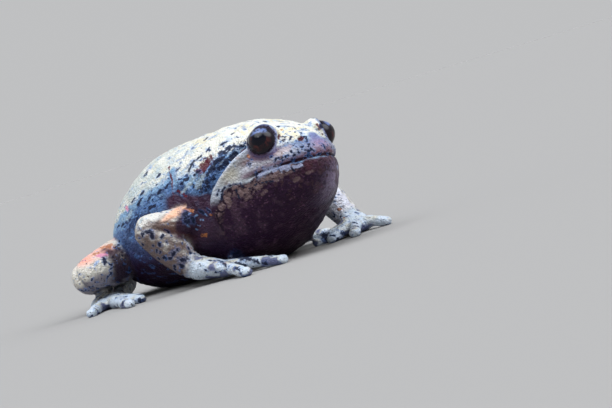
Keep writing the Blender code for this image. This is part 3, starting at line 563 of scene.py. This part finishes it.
# painted shade: the chest's dark on the arms' undersides
paint(CHEST, arm_share * eased((-0.3 - normals[:, 2]) / 0.5) * 0.6)
for side, sign in SIDES.items():
    elbow_end = np.array(axis_of(f"forearm_{side}")[0])
    shoulder = share_of(f"upper_arm_{side}", blend=0.5)
    shoulder_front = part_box(f"upper_arm_{side}")[1][0] / MM - SHOULDER_END - 0.9 * eased((12.0 - z) / 2.0)
    from_elbow = np.abs(elbow_end[1]) - sign * y
    # pink-tan of the upper arm on skin facing down, partly painted shade
    paint(SHOULDER_PINK, shoulder * eased((from_elbow - 0.8) / 3.0) * eased(0.6 - 1.4 * normals[:, 2]))
    upper_edge = eased((normals[:, 2] - 0.35 + 0.3 * middling) / 0.3)
    tip = eased((x - shoulder_front + 1.6) / 0.8) * eased((z - 12.2) / 0.8)
    orange = np.maximum(upper_edge * eased((from_elbow - 5.4 + 0.8 * middling) / 1.2), tip)
    paint(SHOULDER_ORANGE, shoulder * orange * (0.8 + 0.25 * fine))
    # painted shadow where the upper arm meets the body, in the chest's dark colour
    by_shoulder = eased((1.8 - away[f"upper_arm_{side}"]) / 1.2)
    shoulder_shadow = by_shoulder * eased((x - shoulder_front + 0.6 * middling) / 0.5)
    paint(CHEST, shoulder_shadow)
    # painted shade, in the lips' dark red, in the fold of the elbow
    elbow_shade = joined_at(f"upper_arm_{side}", f"forearm_{side}", 0.5) * eased((from_elbow - 1.6) / 1.6)
    paint(LIP_RED, 0.5 * elbow_shade)
    unlit = np.maximum(unlit, shoulder_shadow)
    arm_share *= 1 - shoulder_shadow
    inner_side = share_of(f"upper_arm_{side}", f"forearm_{side}")
    turned_in = -sign * normals[:, 1]
    if side == "left":
        turned_in += 0.7 * normals[:, 0]
    inner_side *= eased((turned_in - 0.1) / 0.4)
    paint(ARM_INNER, arm_share * inner_side * 0.85)
hand_share = share_of("hand", "foot")
paint(HAND_PALE, hand_share)
paint(HAND_CREAM, hand_share * eased(0.1 + 1.5 * middling))
paint(HAND_BLUE, hand_share * eased((middling - 0.12 - 0.25 * normals[:, 2]) / 0.15) * 0.9)
leg_share = share_of("thigh", "shank", blend=0.5)
paint(THIGH_CREAM, leg_share)
on_top = eased((z - 8.0) / 2.0) * eased((normals[:, 2] - 0.2) / 0.5)
paint(THIGH_ORANGE, leg_share * eased(0.5 + 1.5 * broad) * on_top * 0.9)
# painted shade: grey on the legs' skin facing down
paint(LEG_SHADE_GREY, leg_share * eased((0.15 - normals[:, 2] + 0.8 * broad) / 0.5) * 0.85)
for side in SIDES:
    # painted shade, in the belly's dark, on the front of each hip and in the fold between thigh and body
    by_hip = eased((1.7 - away[f"thigh_{side}"]) / 1.0) * eased((19.0 - np.abs(y)) / 1.8)
    hip_front_shade = by_hip * eased((normals[:, 0] - 0.3 + 0.45 * middling + 0.25 * fine) / 0.5)
    hip_fold_shade = by_hip * joined_at("torso", f"thigh_{side}", 0.9) * eased((11 - z) / 3.0)
    paint(BELLY, np.maximum(hip_front_shade, hip_fold_shade) * 0.95)

# how much of the cream back, of small dark specks, of the throat's net and of the flank's mottling shows
covered = np.max([arm_share, hand_share, leg_share, throat_share, cheek_share], axis=0)
covered = np.maximum(covered, np.maximum(lids, on_lip * eased((4.0 - over_mouth) / 1.2)))
covered = np.maximum(covered, snout_reflection_share)
cream_share = 1 - covered
dark_band = bell(past_fold + 1.9, 1.5) * eased((2.0 - above) / 1.5) * eased((above + 8.0) / 3.0)
specks = 0.36 + 0.20 * eased((3.0 - up_back) / 5.0)
specks += 0.75 * dark_band * eased((np.abs(left) - 4.0) / 2.0)
specks -= 0.25 * cheek_share
specks = specks * (1 - throat_share) - 0.5 * armpit
specks += 0.22 * on_lip
for share, crowd in ((arm_share, 0.45), (hand_share, 0.62), (leg_share, 0.58)):
    specks = specks * (1 - share) + crowd * share
specks *= 1 - lids
jaw_depth = 3.0 - eased((ahead + 2.0) / 5.0)
jaw = throat_share * eased(under_jaw / 0.4) * eased((jaw_depth - under_jaw) / 1.2)
jaw *= eased((7.0 - ahead) / 2.0)
net = throat_share * (0.15 + 0.85 * eased((above + 12.5 + 2.0 * broad) / 5.0))
flank = (1 - covered) * eased(-up_back / 2.0) * (0.25 + 0.75 * eased((z - 8.0) / 5.0)) * (1 - unlit)


def stored(obj, name, values):
    """Keeps a value or colour for each point of a piece under a name."""
    if values.ndim == 1:
        layer = obj.data.attributes.new(name, "FLOAT", "POINT")
        layer.data.foreach_set("value", values)
    else:
        layer = obj.data.attributes.new(name, "FLOAT_COLOR", "POINT")
        layer.data.foreach_set("color", np.column_stack([values, np.ones(len(values))]).ravel())


for name, values in (
    ("colour", colour), ("dim", eased((6.0 - x) / 14.0) * (1 - on_snout)), ("up_back", up_back),
    ("cream_share", cream_share), ("specks", specks), ("net", net), ("jaw", jaw), ("throat", throat_share),
    ("flank", flank), ("over_mouth", np.clip(over_mouth, -3, 3)), ("mouth", along_mouth * head_share),
):
    stored(skin, name, values)

# Single marks.
# The marks that name this one animal, each read off the picture as a stroke from one pixel to
# another with its width in millimetres, and laid where the line of sight meets the skin.
DARK_STROKES = (
    # the back and the flank
    (145, 175, 147, 172, 0.9), (205, 140, 207, 138, 0.7), (220, 145, 227, 142, 0.6),
    (207, 151, 209, 148, 0.5), (189, 171, 194, 161, 0.8), (194, 161, 201, 156, 0.6),
    (194, 175, 200, 171, 0.6), (216, 162, 222, 158, 1.1), (211, 170, 214, 166, 1.2),
    (207, 175, 209, 172, 0.9), (218, 168, 227, 164, 1.0), (231, 159, 236, 153, 1.1),
    (224, 163, 230, 158, 0.8), (207, 180, 208, 186, 0.9), (204, 186, 206, 190, 0.6),
    (177, 170, 180, 168, 0.6), (182, 184, 188, 178, 0.9), (158, 193, 160, 191, 0.8),
    (166, 188, 167, 185, 0.7), (148, 200, 151, 196, 0.7), (138, 205, 141, 199, 0.8),
    (132, 202, 135, 198, 0.6), (141, 194, 144, 192, 0.6), (137, 219, 139, 213, 0.7),
    (122, 226, 123, 224, 0.8), (149, 208, 155, 206, 0.7),
    # behind the eye
    (240, 145, 246, 147, 0.8), (232, 134, 234, 133, 0.5),
    # the near arm and wrist
    (142, 235, 145, 232, 0.7), (145, 232, 150, 231, 0.6), (150, 231, 153, 234, 0.6),
    (153, 234, 152, 238, 0.7), (138, 227, 139, 229, 0.5), (142, 243, 143, 245, 0.5),
    (161, 238, 163, 235, 0.5), (166, 242, 167, 243, 0.5), (159, 243, 160, 246, 0.45),
    (153, 245, 153, 246, 0.4), (157, 250, 157, 252, 0.5), (160, 252, 160, 253, 0.5),
    (164, 257, 165, 258, 0.6), (158, 258, 159, 259, 0.5), (170, 258, 174, 252, 0.8),
    (174, 252, 178, 249, 0.6), (180, 260, 188, 259, 0.9), (181, 265, 182, 266, 0.7),
    (174, 266, 176, 270, 0.6), (188, 247, 189, 249, 0.5), (190, 253, 196, 254, 0.5),
    (168, 231, 169, 233, 0.5), (165, 230, 166, 231, 0.4), (168, 210, 169, 210, 0.5),
    # the face
    (282, 140, 284, 141, 0.7), (281, 137, 286, 137, 0.4), (289, 140, 291, 137, 0.5),
    (287, 143, 288, 143, 0.4), (296, 146, 297, 146, 0.5), (301, 147, 302, 147, 0.5),
    (308, 144, 309, 144, 0.5), (313, 145, 314, 145, 0.4), (305, 150, 309, 151, 0.5),
    (309, 147, 314, 151, 0.5), (298, 152, 299, 153, 0.5), (294, 155, 295, 155, 0.5),
    (291, 151, 292, 152, 0.4), (285, 156, 286, 157, 0.5), (274, 161, 278, 158, 0.6),
    (249, 164, 250, 165, 0.7), (257, 168, 258, 168, 0.4), (308, 156, 309, 156, 0.5),
    (323, 144, 325, 149, 0.5), (291, 159, 293, 160, 0.5), (278, 168, 280, 172, 0.4),
    (291, 167, 294, 171, 0.4), (257, 174, 257, 178, 0.5), (264, 121, 266, 122, 0.5),
    # the cheek's lower edge
    (222, 200, 222, 191, 0.5), (222, 191, 225, 187, 0.4), (225, 187, 231, 185, 0.35),
    (231, 185, 241, 183, 0.3),
    # the near hand
    (230, 258, 242, 259, 0.8), (236, 263, 244, 265, 0.7), (236, 256, 246, 258, 1.8),
    (248, 259, 258, 262, 0.8), (222, 262, 226, 266, 0.6), (262, 262, 266, 264, 0.6),
    # a thigh and the cheek's fold
    (104, 258, 105, 263, 0.9), (217, 195, 219, 190, 0.4),
    # in front of the shoulder; the first is a painted shadow between the arm and the chest
    (185, 213, 187, 221, 1.1), (192, 218, 194, 223, 0.7), (199, 211, 203, 213, 0.6),
    (207, 209, 210, 212, 0.5),
    # under the jaw
    (241, 186, 250, 189, 0.35), (250, 189, 258, 183, 0.35), (262, 183, 273, 181, 0.4),
    (236, 190, 240, 199, 0.4),
)
BLUE_GREY_STROKES = (
    (237, 127, 239, 126, 0.9), (243, 126, 244, 129, 0.8), (222, 144, 228, 141, 0.9),
    (184, 159, 187, 151, 0.7), (193, 147, 197, 144, 0.8), (262, 122, 267, 121, 0.6),
    (281, 123, 289, 123, 0.5), (298, 131, 303, 130, 0.7), (148, 169, 152, 167, 0.8),
    (177, 161, 183, 157, 0.6), (210, 139, 216, 135, 0.7), (175, 176, 178, 168, 1.2),
    (186, 168, 189, 164, 0.8), (163, 181, 167, 175, 0.9), (251, 126, 254, 124, 0.6),
    (247, 122, 252, 121, 0.7), (271, 126, 273, 129, 0.6),
)
PALE_STROKES = (
    (198, 184, 204, 176, 1.6), (188, 186, 194, 176, 1.2), (160, 184, 164, 178, 1.1),
    (146, 191, 152, 186, 1.5), (127, 219, 131, 212, 1.2), (150, 179, 158, 171, 1.6),
    (133, 195, 139, 189, 1.2), (208, 171, 214, 164, 0.5), (219, 165, 223, 161, 0.5),
    (181, 193, 186, 188, 0.7), (139, 224, 142, 219, 0.7),
)
TAN_STROKES = (
    (228, 194, 229, 204, 1.2), (239, 194, 246, 190, 1.2), (249, 188, 255, 185, 1.2),
    (263, 181, 270, 178, 1.4), (276, 179, 281, 176, 1.1), (233, 188, 237, 187, 0.7),
    (246, 198, 250, 196, 0.9), (258, 189, 261, 186, 0.8), (295, 180, 299, 178, 0.9),
    (286, 174, 291, 172, 0.8), (262, 194, 266, 191, 0.8), (308, 173, 312, 171, 0.7),
)
LAVENDER_STROKES = (
    (259, 175, 267, 171, 1.0), (269, 170, 277, 168, 1.2), (281, 169, 289, 167, 1.1),
    (294, 167, 301, 165, 0.9),
)
RED_STROKES = (
    (201, 170, 209, 161, 2.4), (178, 191, 186, 196, 0.7), (169, 167, 172, 180, 0.5),
    (172, 180, 174, 199, 0.4), (246, 148, 241, 152, 0.7), (299, 139, 302, 140, 0.9),
    (317, 124, 320, 129, 0.7), (320, 129, 322, 134, 0.6),
)
ORANGE_STROKES = (
    (202, 235, 206, 235, 0.7), (210, 214, 211, 215, 0.45), (248, 156, 249, 157, 0.6),
    (186, 209, 192, 211, 0.8), (103, 247, 110, 246, 1.5), (94, 254, 98, 253, 1.0),
    (338, 209, 341, 209, 0.6), (342, 218, 345, 218, 0.4), (191, 248, 200, 256, 0.35),
    (280, 129, 282, 130, 0.4),
)
PINK_STROKES = ((126, 206, 128, 210, 0.8), (99, 256, 104, 255, 1.2))
LIGHT_BLUE_STROKES = (
    (149, 168, 151, 167, 0.5), (95, 265, 98, 262, 0.8), (206, 172, 213, 167, 0.5),
    (217, 161, 224, 155, 0.5), (207, 178, 211, 173, 0.4), (221, 169, 226, 166, 0.4),
    (189, 214, 191, 213, 0.45), (195, 216, 197, 215, 0.45), (193, 221, 195, 222, 0.4),
    (200, 219, 203, 220, 0.5), (198, 225, 200, 226, 0.4), (205, 214, 207, 216, 0.4),
    (188, 225, 189, 227, 0.4), (196, 229, 198, 230, 0.4), (248, 127, 249, 127, 0.5),
    (221, 166, 225, 163, 0.5), (226, 161, 230, 156, 0.5), (214, 167, 217, 165, 0.45),
    (224, 160, 227, 157, 0.4),
)
PEACH_STROKES = ((278, 154, 287, 148, 1.7), (232, 160, 238, 158, 0.8))
MIRROR_REACH, MIDDLE_STRIP, MIRROR_SHIFT = 2.5, 3.0, 0.9
HEAD_START_X, LONGEST_STROKE, MARK_SEED = 12.0, 6.0, 11

skin_tree = BVHTree.FromPolygons(
    [tuple(p) for p in points], [tuple(face.vertices) for face in skin.data.polygons]
)
chance = np.random.default_rng(MARK_SEED)


def seen_at(u, v):
    """The skin point that a pixel of the picture shows, or None."""
    ray = view_right * (u - PICTURE[0] / 2) - view_up * (v - PICTURE[1] / 2) - back * LENS_PX
    hit = skin_tree.ray_cast(eye_point, ray.normalized())[0]
    return None if hit is None else np.array(hit)


def other_side(point, shift):
    """A point's like on the animal's other side, shifted a little, or None where the skin is too far."""
    across_way, centre = np.array((0.0, 1.0, 0.0)), np.zeros(3)
    if point[0] > HEAD_START_X:
        across_way, centre = np.array(across), np.array(head_middle)
    side_step = (point - centre) @ across_way
    if abs(side_step) < MIDDLE_STRIP:
        return None
    mirrored = point - 2 * side_step * across_way + shift
    found = skin_tree.find_nearest(mirrored, MIRROR_REACH)[0]
    return None if found is None else np.array(found)


def strokes(marks):
    """How far each skin point is inside a stroke: 1 on its line, 0 at its edge, below 0 outside."""
    field = np.full(len(points), -2.0)
    for u1, v1, u2, v2, width in marks:
        start, end = seen_at(u1, v1), seen_at(u2, v2)
        if start is None or end is None or np.linalg.norm(end - start) > LONGEST_STROKE:
            continue
        pairs = [(start, end)]
        shift = chance.normal(0, MIRROR_SHIFT, 3) * (1, 0.2, 1)
        start, end = other_side(start, shift), other_side(end, shift)
        if start is not None and end is not None:
            pairs.append((start, end))
        for start, end in pairs:
            run = end - start
            share = np.clip((points - start) @ run / max(run @ run, 1e-6), 0, 1)
            far = np.linalg.norm(points - start - share[:, None] * run, axis=1)
            field = np.maximum(field, 1 - far / (width / 2))
    return field


for name, marks in (
    ("dark", DARK_STROKES), ("blue_grey", BLUE_GREY_STROKES), ("pale", PALE_STROKES), ("tan", TAN_STROKES),
    ("lavender", LAVENDER_STROKES), ("red", RED_STROKES), ("orange", ORANGE_STROKES), ("pink", PINK_STROKES),
    ("light_blue", LIGHT_BLUE_STROKES), ("peach", PEACH_STROKES),
):
    stored(skin, name, strokes(marks))

# The skin's finish.
# Moist and satin, with a thin wet film. Mottling, specks, streaks, the net of the throat and painted glints
# on its granules are laid over the zones of colour, and every edge is ragged, as pigment cells make it.
CREAM = (0.72, 0.71, 0.63)
CREAM_WARM = (0.72, 0.66, 0.47)
CREAM_COOL = (0.48, 0.57, 0.66)
CREAM_DIM = (0.44, 0.49, 0.47)
PALE_BLUE = (0.19, 0.33, 0.50)
FLANK_LIGHT = (0.12, 0.27, 0.50)
FLANK_DARK = (0.016, 0.026, 0.08)
MOUTH_DARK = (0.025, 0.008, 0.018)
SPECK_BLACK = (0.008, 0.011, 0.032)
HALO_BLUE = (0.060, 0.17, 0.46)
THROAT_TAN = (0.050, 0.023, 0.030)
THROAT_BLACK = (0.008, 0.003, 0.009)
THROAT_MAUVE = (0.062, 0.032, 0.054)
JAW_TAN = (0.135, 0.082, 0.088)
THROAT_GRANULE_GLINT = (0.105, 0.045, 0.090)
MARKS = (
    ("pale", (0.40, 0.50, 0.55), 0.5), ("blue_grey", (0.24, 0.31, 0.45), 0.7),
    ("tan", (0.180, 0.115, 0.110), 0.5), ("lavender", (0.27, 0.30, 0.45), 0.8),
    ("light_blue", (0.16, 0.31, 0.58), 0.65), ("orange", (0.40, 0.13, 0.03), 0.8),
    ("pink", (0.66, 0.24, 0.36), 0.9), ("peach", (0.52, 0.35, 0.30), 0.4),
    ("red", (0.088, 0.004, 0.012), 0.94), ("dark", SPECK_BLACK, 0.96),
)


def material(name, **settings):
    """A new material, with the shader's sockets set to fixed values."""
    made = bpy.data.materials.new(name)
    made.use_nodes = True
    for socket, value in settings.items():
        made.node_tree.nodes["Principled BSDF"].inputs[socket.replace("_", " ")].default_value = value
    return made


# the specular level and the coat are linked further down; these middling ones serve where a link is dropped
finish = material(
    "frog_skin", Roughness=0.45, Coat_Roughness=0.2, Specular_IOR_Level=0.2, Coat_Weight=0.15,
    Subsurface_Weight=0.05, Subsurface_Radius=(1.0, 0.5, 0.35), Subsurface_Scale=0.8 * MM,
)
tree = finish.node_tree
shader = tree.nodes["Principled BSDF"]


def node(kind, inputs=None, **settings):
    """A shader node; inputs are values or other nodes' outputs, by name or number."""
    made = tree.nodes.new(kind)
    for name, value in settings.items():
        setattr(made, name, value)
    for name, value in (inputs or {}).items():
        if isinstance(value, bpy.types.NodeSocket):
            tree.links.new(value, made.inputs[name])
        elif isinstance(value, tuple) and len(value) == 3 and made.inputs[name].type == "RGBA":
            made.inputs[name].default_value = (*value, 1)
        else:
            made.inputs[name].default_value = value
    return made


def kept(name, output="Fac"):
    """What stored() kept on the piece under the name."""
    return node("ShaderNodeAttribute", attribute_name=name).outputs[output]


def sum_of(a, b):
    return node("ShaderNodeMath", {0: a, 1: b}, operation="ADD").outputs[0]


def times(a, b):
    return node("ShaderNodeMath", {0: a, 1: b}, operation="MULTIPLY").outputs[0]


def rise(value, start, end):
    """0 where value is below start, 1 above end, smooth between."""
    made = node(
        "ShaderNodeMapRange",
        {"Value": value, "From Min": start, "From Max": end, "To Min": 0.0, "To Max": 1.0},
        interpolation_type="SMOOTHSTEP",
    )
    return made.outputs["Result"]


def laid(under, tint, share):
    """A tint over a colour; either is a fixed colour or another node's."""
    return node("ShaderNodeMix", {"Factor": share, 6: under, 7: tint}, data_type="RGBA").outputs[2]


def clouds(scale, detail=2.0, at=None):
    """Noise around nought, from about -0.3 to 0.3."""
    made = node("ShaderNodeTexNoise", {"Vector": at or where, "Scale": scale, "Detail": detail})
    return sum_of(made.outputs["Fac"], -0.5)


where = node("ShaderNodeTexCoord").outputs["Object"]
along_body = node("ShaderNodeMapping", {"Vector": where, "Rotation": (0, 0.5, 0), "Scale": (0.6, 1.0, 1.0)})
along_body = along_body.outputs[0]
n_broad = clouds(230.0, 2.0)
n_patch = clouds(520.0, 3.0)
n_mottle = clouds(900.0, 3.0, along_body)
n_fine = clouds(1900.0, 2.0)
n_edge = sum_of(times(clouds(1500.0, 2.0), 1.3), times(clouds(3200.0, 1.0), 0.5))

# cream back over blue flank, with a ragged, mottled border
rim_noise = sum_of(times(n_patch, 4.5), times(n_mottle, 4.0))
height = sum_of(kept("up_back"), rim_noise)
skin_colour = kept("colour", "Color")
mottled = times(kept("flank"), rise(sum_of(n_mottle, times(n_patch, 0.6)), 0.03, 0.13))
skin_colour = laid(skin_colour, FLANK_LIGHT, times(mottled, 0.45))
shaded = times(kept("flank"), rise(sum_of(times(n_mottle, -1.0), times(n_broad, 0.7)), 0.02, 0.12))
skin_colour = laid(skin_colour, FLANK_DARK, times(shaded, 0.8))
skin_colour = laid(skin_colour, PALE_BLUE, times(rise(height, -2.6, -0.9), kept("cream_share")))
back_colour = laid(CREAM, CREAM_WARM, rise(sum_of(n_patch, times(n_broad, 0.8)), 0.0, 0.16))
back_colour = laid(back_colour, CREAM_COOL, times(rise(sum_of(n_patch, n_mottle), 0.03, 0.15), 0.75))
dimmed = times(kept("dim"), rise(sum_of(n_patch, times(n_broad, -0.8)), -0.2, 0.08))
back_colour = laid(back_colour, CREAM_DIM, times(dimmed, 0.75))
skin_colour = laid(skin_colour, back_colour, times(rise(height, -0.7, 0.5), kept("cream_share")))

# the throat's net: tan islands between dark lines, breaking up downwards
drift = node("ShaderNodeTexNoise", {"Vector": where, "Scale": 700.0, "Detail": 3.0}).outputs["Color"]
drift = node("ShaderNodeVectorMath", {0: drift, 1: (0.5, 0.5, 0.5)}, operation="SUBTRACT").outputs[0]
drift = node("ShaderNodeVectorMath", {0: drift, "Scale": 0.0022}, operation="SCALE").outputs[0]
wavering = node("ShaderNodeVectorMath", {0: where, 1: drift}, operation="ADD").outputs[0]
cells = node("ShaderNodeTexVoronoi", {"Vector": wavering, "Scale": 640.0}, feature="DISTANCE_TO_EDGE")
islands = rise(sum_of(cells.outputs["Distance"], times(n_patch, 0.7)), 0.10, 0.24)
island_share = times(times(islands, kept("net")), rise(sum_of(n_mottle, n_broad), -0.22, 0.1))
skin_colour = laid(skin_colour, THROAT_BLACK, times(kept("net"), times(rise(n_edge, -0.05, 0.2), 0.5)))
skin_colour = laid(skin_colour, THROAT_TAN, times(island_share, 0.8))
mauve = times(kept("throat"), rise(sum_of(n_patch, times(n_broad, 0.6)), 0.02, 0.16))
skin_colour = laid(skin_colour, THROAT_MAUVE, times(mauve, 0.55))
# pale granules on the throat, partly painted glints of wet light
granule_glints = node("ShaderNodeTexVoronoi", {"Vector": wavering, "Scale": 1500.0}, feature="DISTANCE_TO_EDGE")
granule_glints = times(rise(granule_glints.outputs["Distance"], 0.12, 0.34), rise(sum_of(n_fine, n_patch), -0.02, 0.16))
skin_colour = laid(skin_colour, THROAT_GRANULE_GLINT, times(times(granule_glints, kept("throat")), 0.8))
jaw_cells = rise(sum_of(cells.outputs["Distance"], times(n_fine, 0.25)), 0.07, 0.17)
skin_colour = laid(skin_colour, THROAT_BLACK, times(kept("jaw"), 0.6))
skin_colour = laid(skin_colour, JAW_TAN, times(times(jaw_cells, kept("jaw")), rise(n_patch, -0.16, 0.04)))

# the closed mouth
line = node("ShaderNodeMath", {0: kept("over_mouth")}, operation="ABSOLUTE").outputs[0]
line = sum_of(line, times(n_edge, 0.15))
skin_colour = laid(skin_colour, MOUTH_DARK, times(rise(times(line, -1.0), -0.34, -0.16), kept("mouth")))

# specks of two sizes, thicker where the animal has more
crowd = kept("specks")
large = sum_of(sum_of(n_mottle, times(n_edge, 0.12)), times(crowd, 0.24))
small = sum_of(sum_of(n_fine, times(n_broad, 0.25)), times(crowd, 0.22))
halo = times(rise(large, 0.20, 0.27), rise(crowd, 0.02, 0.2))
skin_colour = laid(skin_colour, HALO_BLUE, times(halo, 0.55))
large = times(rise(large, 0.265, 0.29), rise(crowd, 0.02, 0.2))
small = times(rise(small, 0.285, 0.32), rise(crowd, 0.02, 0.2))
skin_colour = laid(skin_colour, SPECK_BLACK, times(small, 0.85))
skin_colour = laid(skin_colour, SPECK_BLACK, times(large, 0.93))

# the single marks
for name, tint, strength in MARKS:
    inside = sum_of(kept(name), times(n_edge, 1.9))
    if name == "dark":
        halo = times(rise(inside, -0.9, 0.1), sum_of(times(kept("throat"), -0.3), 0.3))
        skin_colour = laid(skin_colour, HALO_BLUE, halo)
    skin_colour = laid(skin_colour, tint, times(rise(inside, -0.15, 0.5), strength))
tree.links.new(skin_colour, shader.inputs["Base Color"])

# the dark skin is drier and shines less than the pale
shine = rise(node("ShaderNodeRGBToBW", {"Color": skin_colour}).outputs[0], 0.0, 0.15)
tree.links.new(sum_of(times(shine, 0.24), 0.09), shader.inputs["Specular IOR Level"])
tree.links.new(sum_of(times(shine, 0.18), 0.05), shader.inputs["Coat Weight"])

# the finest grain: pores and beads of two sizes
pores = node("ShaderNodeTexNoise", {"Vector": where, "Scale": 5200.0, "Detail": 2.0}).outputs["Fac"]
beads = node("ShaderNodeTexVoronoi", {"Vector": where, "Scale": 2000.0}).outputs["Distance"]
small_beads = node("ShaderNodeTexVoronoi", {"Vector": where, "Scale": 3600.0}).outputs["Distance"]
relief = sum_of(times(pores, 0.4), sum_of(times(beads, -1.0), times(small_beads, -0.45)))
bump = node("ShaderNodeBump", {"Height": relief, "Strength": 0.8, "Distance": 0.26 * MM})
tree.links.new(bump.outputs["Normal"], shader.inputs["Normal"])
tree.links.new(bump.outputs["Normal"], shader.inputs["Coat Normal"])

skin.data.materials.clear()
skin.data.materials.append(finish)
bpy.ops.object.select_all(action="DESELECT")
skin.select_set(True)
bpy.context.view_layer.objects.active = skin
bpy.ops.object.shade_smooth()
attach(skin, "root")
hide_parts(*flesh)

# The eyes.
# Glass balls painted behind: a black, lying oval pupil in a near-black iris with copper flecks below and a
# painted reflection of blue sky above, under a clear wet cornea. They sit in the skin's sockets, each
# turned its own way.
IRIS_BROWN = (0.006, 0.003, 0.008)
IRIS_COPPER = (0.060, 0.014, 0.014)
IRIS_SKY_REFLECTION = (0.13, 0.18, 0.37)
PUPIL_BLACK = (0.0005, 0.0007, 0.006)
PUPIL_WIDE, PUPIL_HIGH, PUPIL_DROP = 1.3, 1.05, 0.25
IRIS_SPOTS = ((1.2, -0.9, 0.75), (-0.6, -1.4, 0.7), (-1.4, 0.0, 0.5))
CORNEA_BULGE, CORNEA_SPREAD_DEG = 0.14, 34.0
OUT_OF_SIGHT = 9.0

glass = material(
    "eye_glass", Roughness=0.3, Specular_IOR_Level=0.0, Coat_Weight=1.0, Coat_Roughness=0.08, Coat_IOR=1.33
)
tree = glass.node_tree
where = node("ShaderNodeTexCoord").outputs["Object"]
warm = times(kept("below"), rise(clouds(1300.0, 3.0), -0.12, 0.08))
eye_colour = laid(IRIS_BROWN, IRIS_COPPER, warm)
# a painted reflection of blue sky over the top of the iris
sky_reflection = times(kept("above"), rise(clouds(1700.0, 2.0), -0.16, 0.10))
eye_colour = laid(eye_colour, IRIS_SKY_REFLECTION, sky_reflection)
eye_colour = laid(eye_colour, PUPIL_BLACK, rise(times(kept("pupil"), -1.0), -1.08, -0.96))
tree.links.new(eye_colour, tree.nodes["Principled BSDF"].inputs["Base Color"])

for side, sign in SIDES.items():
    bpy.ops.object.select_all(action="DESELECT")
    bpy.ops.mesh.primitive_uv_sphere_add(segments=64, ring_count=40, radius=EYE_RADIUS * MM)
    eye = bpy.context.object
    eye.name = eye.data.name = f"eyeball_{side}"
    look = eye_look[side].normalized()
    co = points_of(eye)
    tilt = np.degrees(np.arccos(np.clip(co[:, 2] / EYE_RADIUS, -1, 1)))
    co *= (1 + CORNEA_BULGE / EYE_RADIUS * bell(tilt, CORNEA_SPREAD_DEG))[:, None]
    turn = np.array(Vector((0, 0, 1)).rotation_difference(look).to_matrix())
    co = co @ turn.T
    level_way = np.array(look.cross(Vector((0, 0, 1))).normalized())
    up_way = np.array(Vector(level_way).cross(look))
    aside, aloft = co @ level_way, co @ up_way
    behind = OUT_OF_SIGHT * (co @ np.array(look) < 0)
    pupil = np.sqrt((aside / PUPIL_WIDE) ** 2 + ((aloft + PUPIL_DROP) / PUPIL_HIGH) ** 2) + behind
    inside_lids = eased((2.5 - np.hypot(aside, aloft)) / 0.8)
    below = np.zeros(len(co))
    for spot_aside, spot_aloft, spot_wide in IRIS_SPOTS:
        spot = np.hypot(sign * aside - spot_aside, aloft - spot_aloft) + behind
        below = np.maximum(below, bell(spot, spot_wide) * inside_lids)
    # where the painted reflection of the sky lies: over the pupil, fading to the sides
    sky_reflection_share = eased((aloft - 0.5) / 0.6) * eased((2.3 - np.hypot(aside, aloft)) / 0.6)
    sky_reflection_share *= eased((2.2 - np.abs(aside - 0.3 * sign)) / 1.3)
    set_points(eye, co + np.array(eye_centres[side]))
    for name, values in (("pupil", pupil), ("below", below), ("above", sky_reflection_share)):
        stored(eye, name, values)
    eye.data.materials.append(glass)
    bpy.ops.object.shade_smooth()
    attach(eye, "root")
    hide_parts(f"eye_{side}")

# The studio.
# A plain pale floor, wide enough to fill the picture, under a soft, even sky of light. Two broad soft lamps
# hang high over the frog and a small one at the camera's left; they shade it and show in its wet eyes.
FLOOR_SIZE = 12.0
FLOOR_GREY = (0.306, 0.298, 0.287)
HORIZON, ZENITH = (0.524, 0.529, 0.537), (0.24, 0.27, 0.32)
LAMP_COLOUR = (0.95, 0.98, 1.03)
LAMPS = ((-26.0, 76.0, 6.0, 39.0, 5.2), (30.0, 80.0, 4.0, 30.0, 4.8), (-30.0, 46.0, 2.0, 9.0, 8.0))
SKY_START, SKY_FULL = 0.15, 0.9

bpy.ops.mesh.primitive_plane_add(size=FLOOR_SIZE)
floor = bpy.context.object
floor.name = "floor"
floor.data.materials.append(
    material("floor_paper", Base_Color=(*FLOOR_GREY, 1), Roughness=1.0, Specular_IOR_Level=0.0)
)

world = bpy.data.worlds.new("studio")
world.use_nodes = True
tree = world.node_tree
direction = node("ShaderNodeTexCoord").outputs["Generated"]
height = node("ShaderNodeSeparateXYZ", {0: direction}).outputs["Z"]
sky = laid(HORIZON, ZENITH, rise(height, SKY_START, SKY_FULL))
for aside_deg, height_deg, core_deg, edge_deg, strength in LAMPS:
    aside, raised = math.radians(aside_deg), math.radians(height_deg)
    lamp_way = (back * math.cos(raised) + view_up * math.sin(raised)) * math.cos(aside)
    lamp_way += view_right * math.sin(aside)
    facing = node("ShaderNodeVectorMath", {0: direction, 1: tuple(lamp_way)}, operation="DOT_PRODUCT")
    lit = rise(facing.outputs["Value"], math.cos(math.radians(edge_deg)), math.cos(math.radians(core_deg)))
    sky = laid(sky, tuple(strength * part for part in LAMP_COLOUR), lit)
tree.links.new(sky, tree.nodes["Background"].inputs["Color"])
bpy.context.scene.world = world
bpy.context.scene.view_settings.view_transform = "Standard"
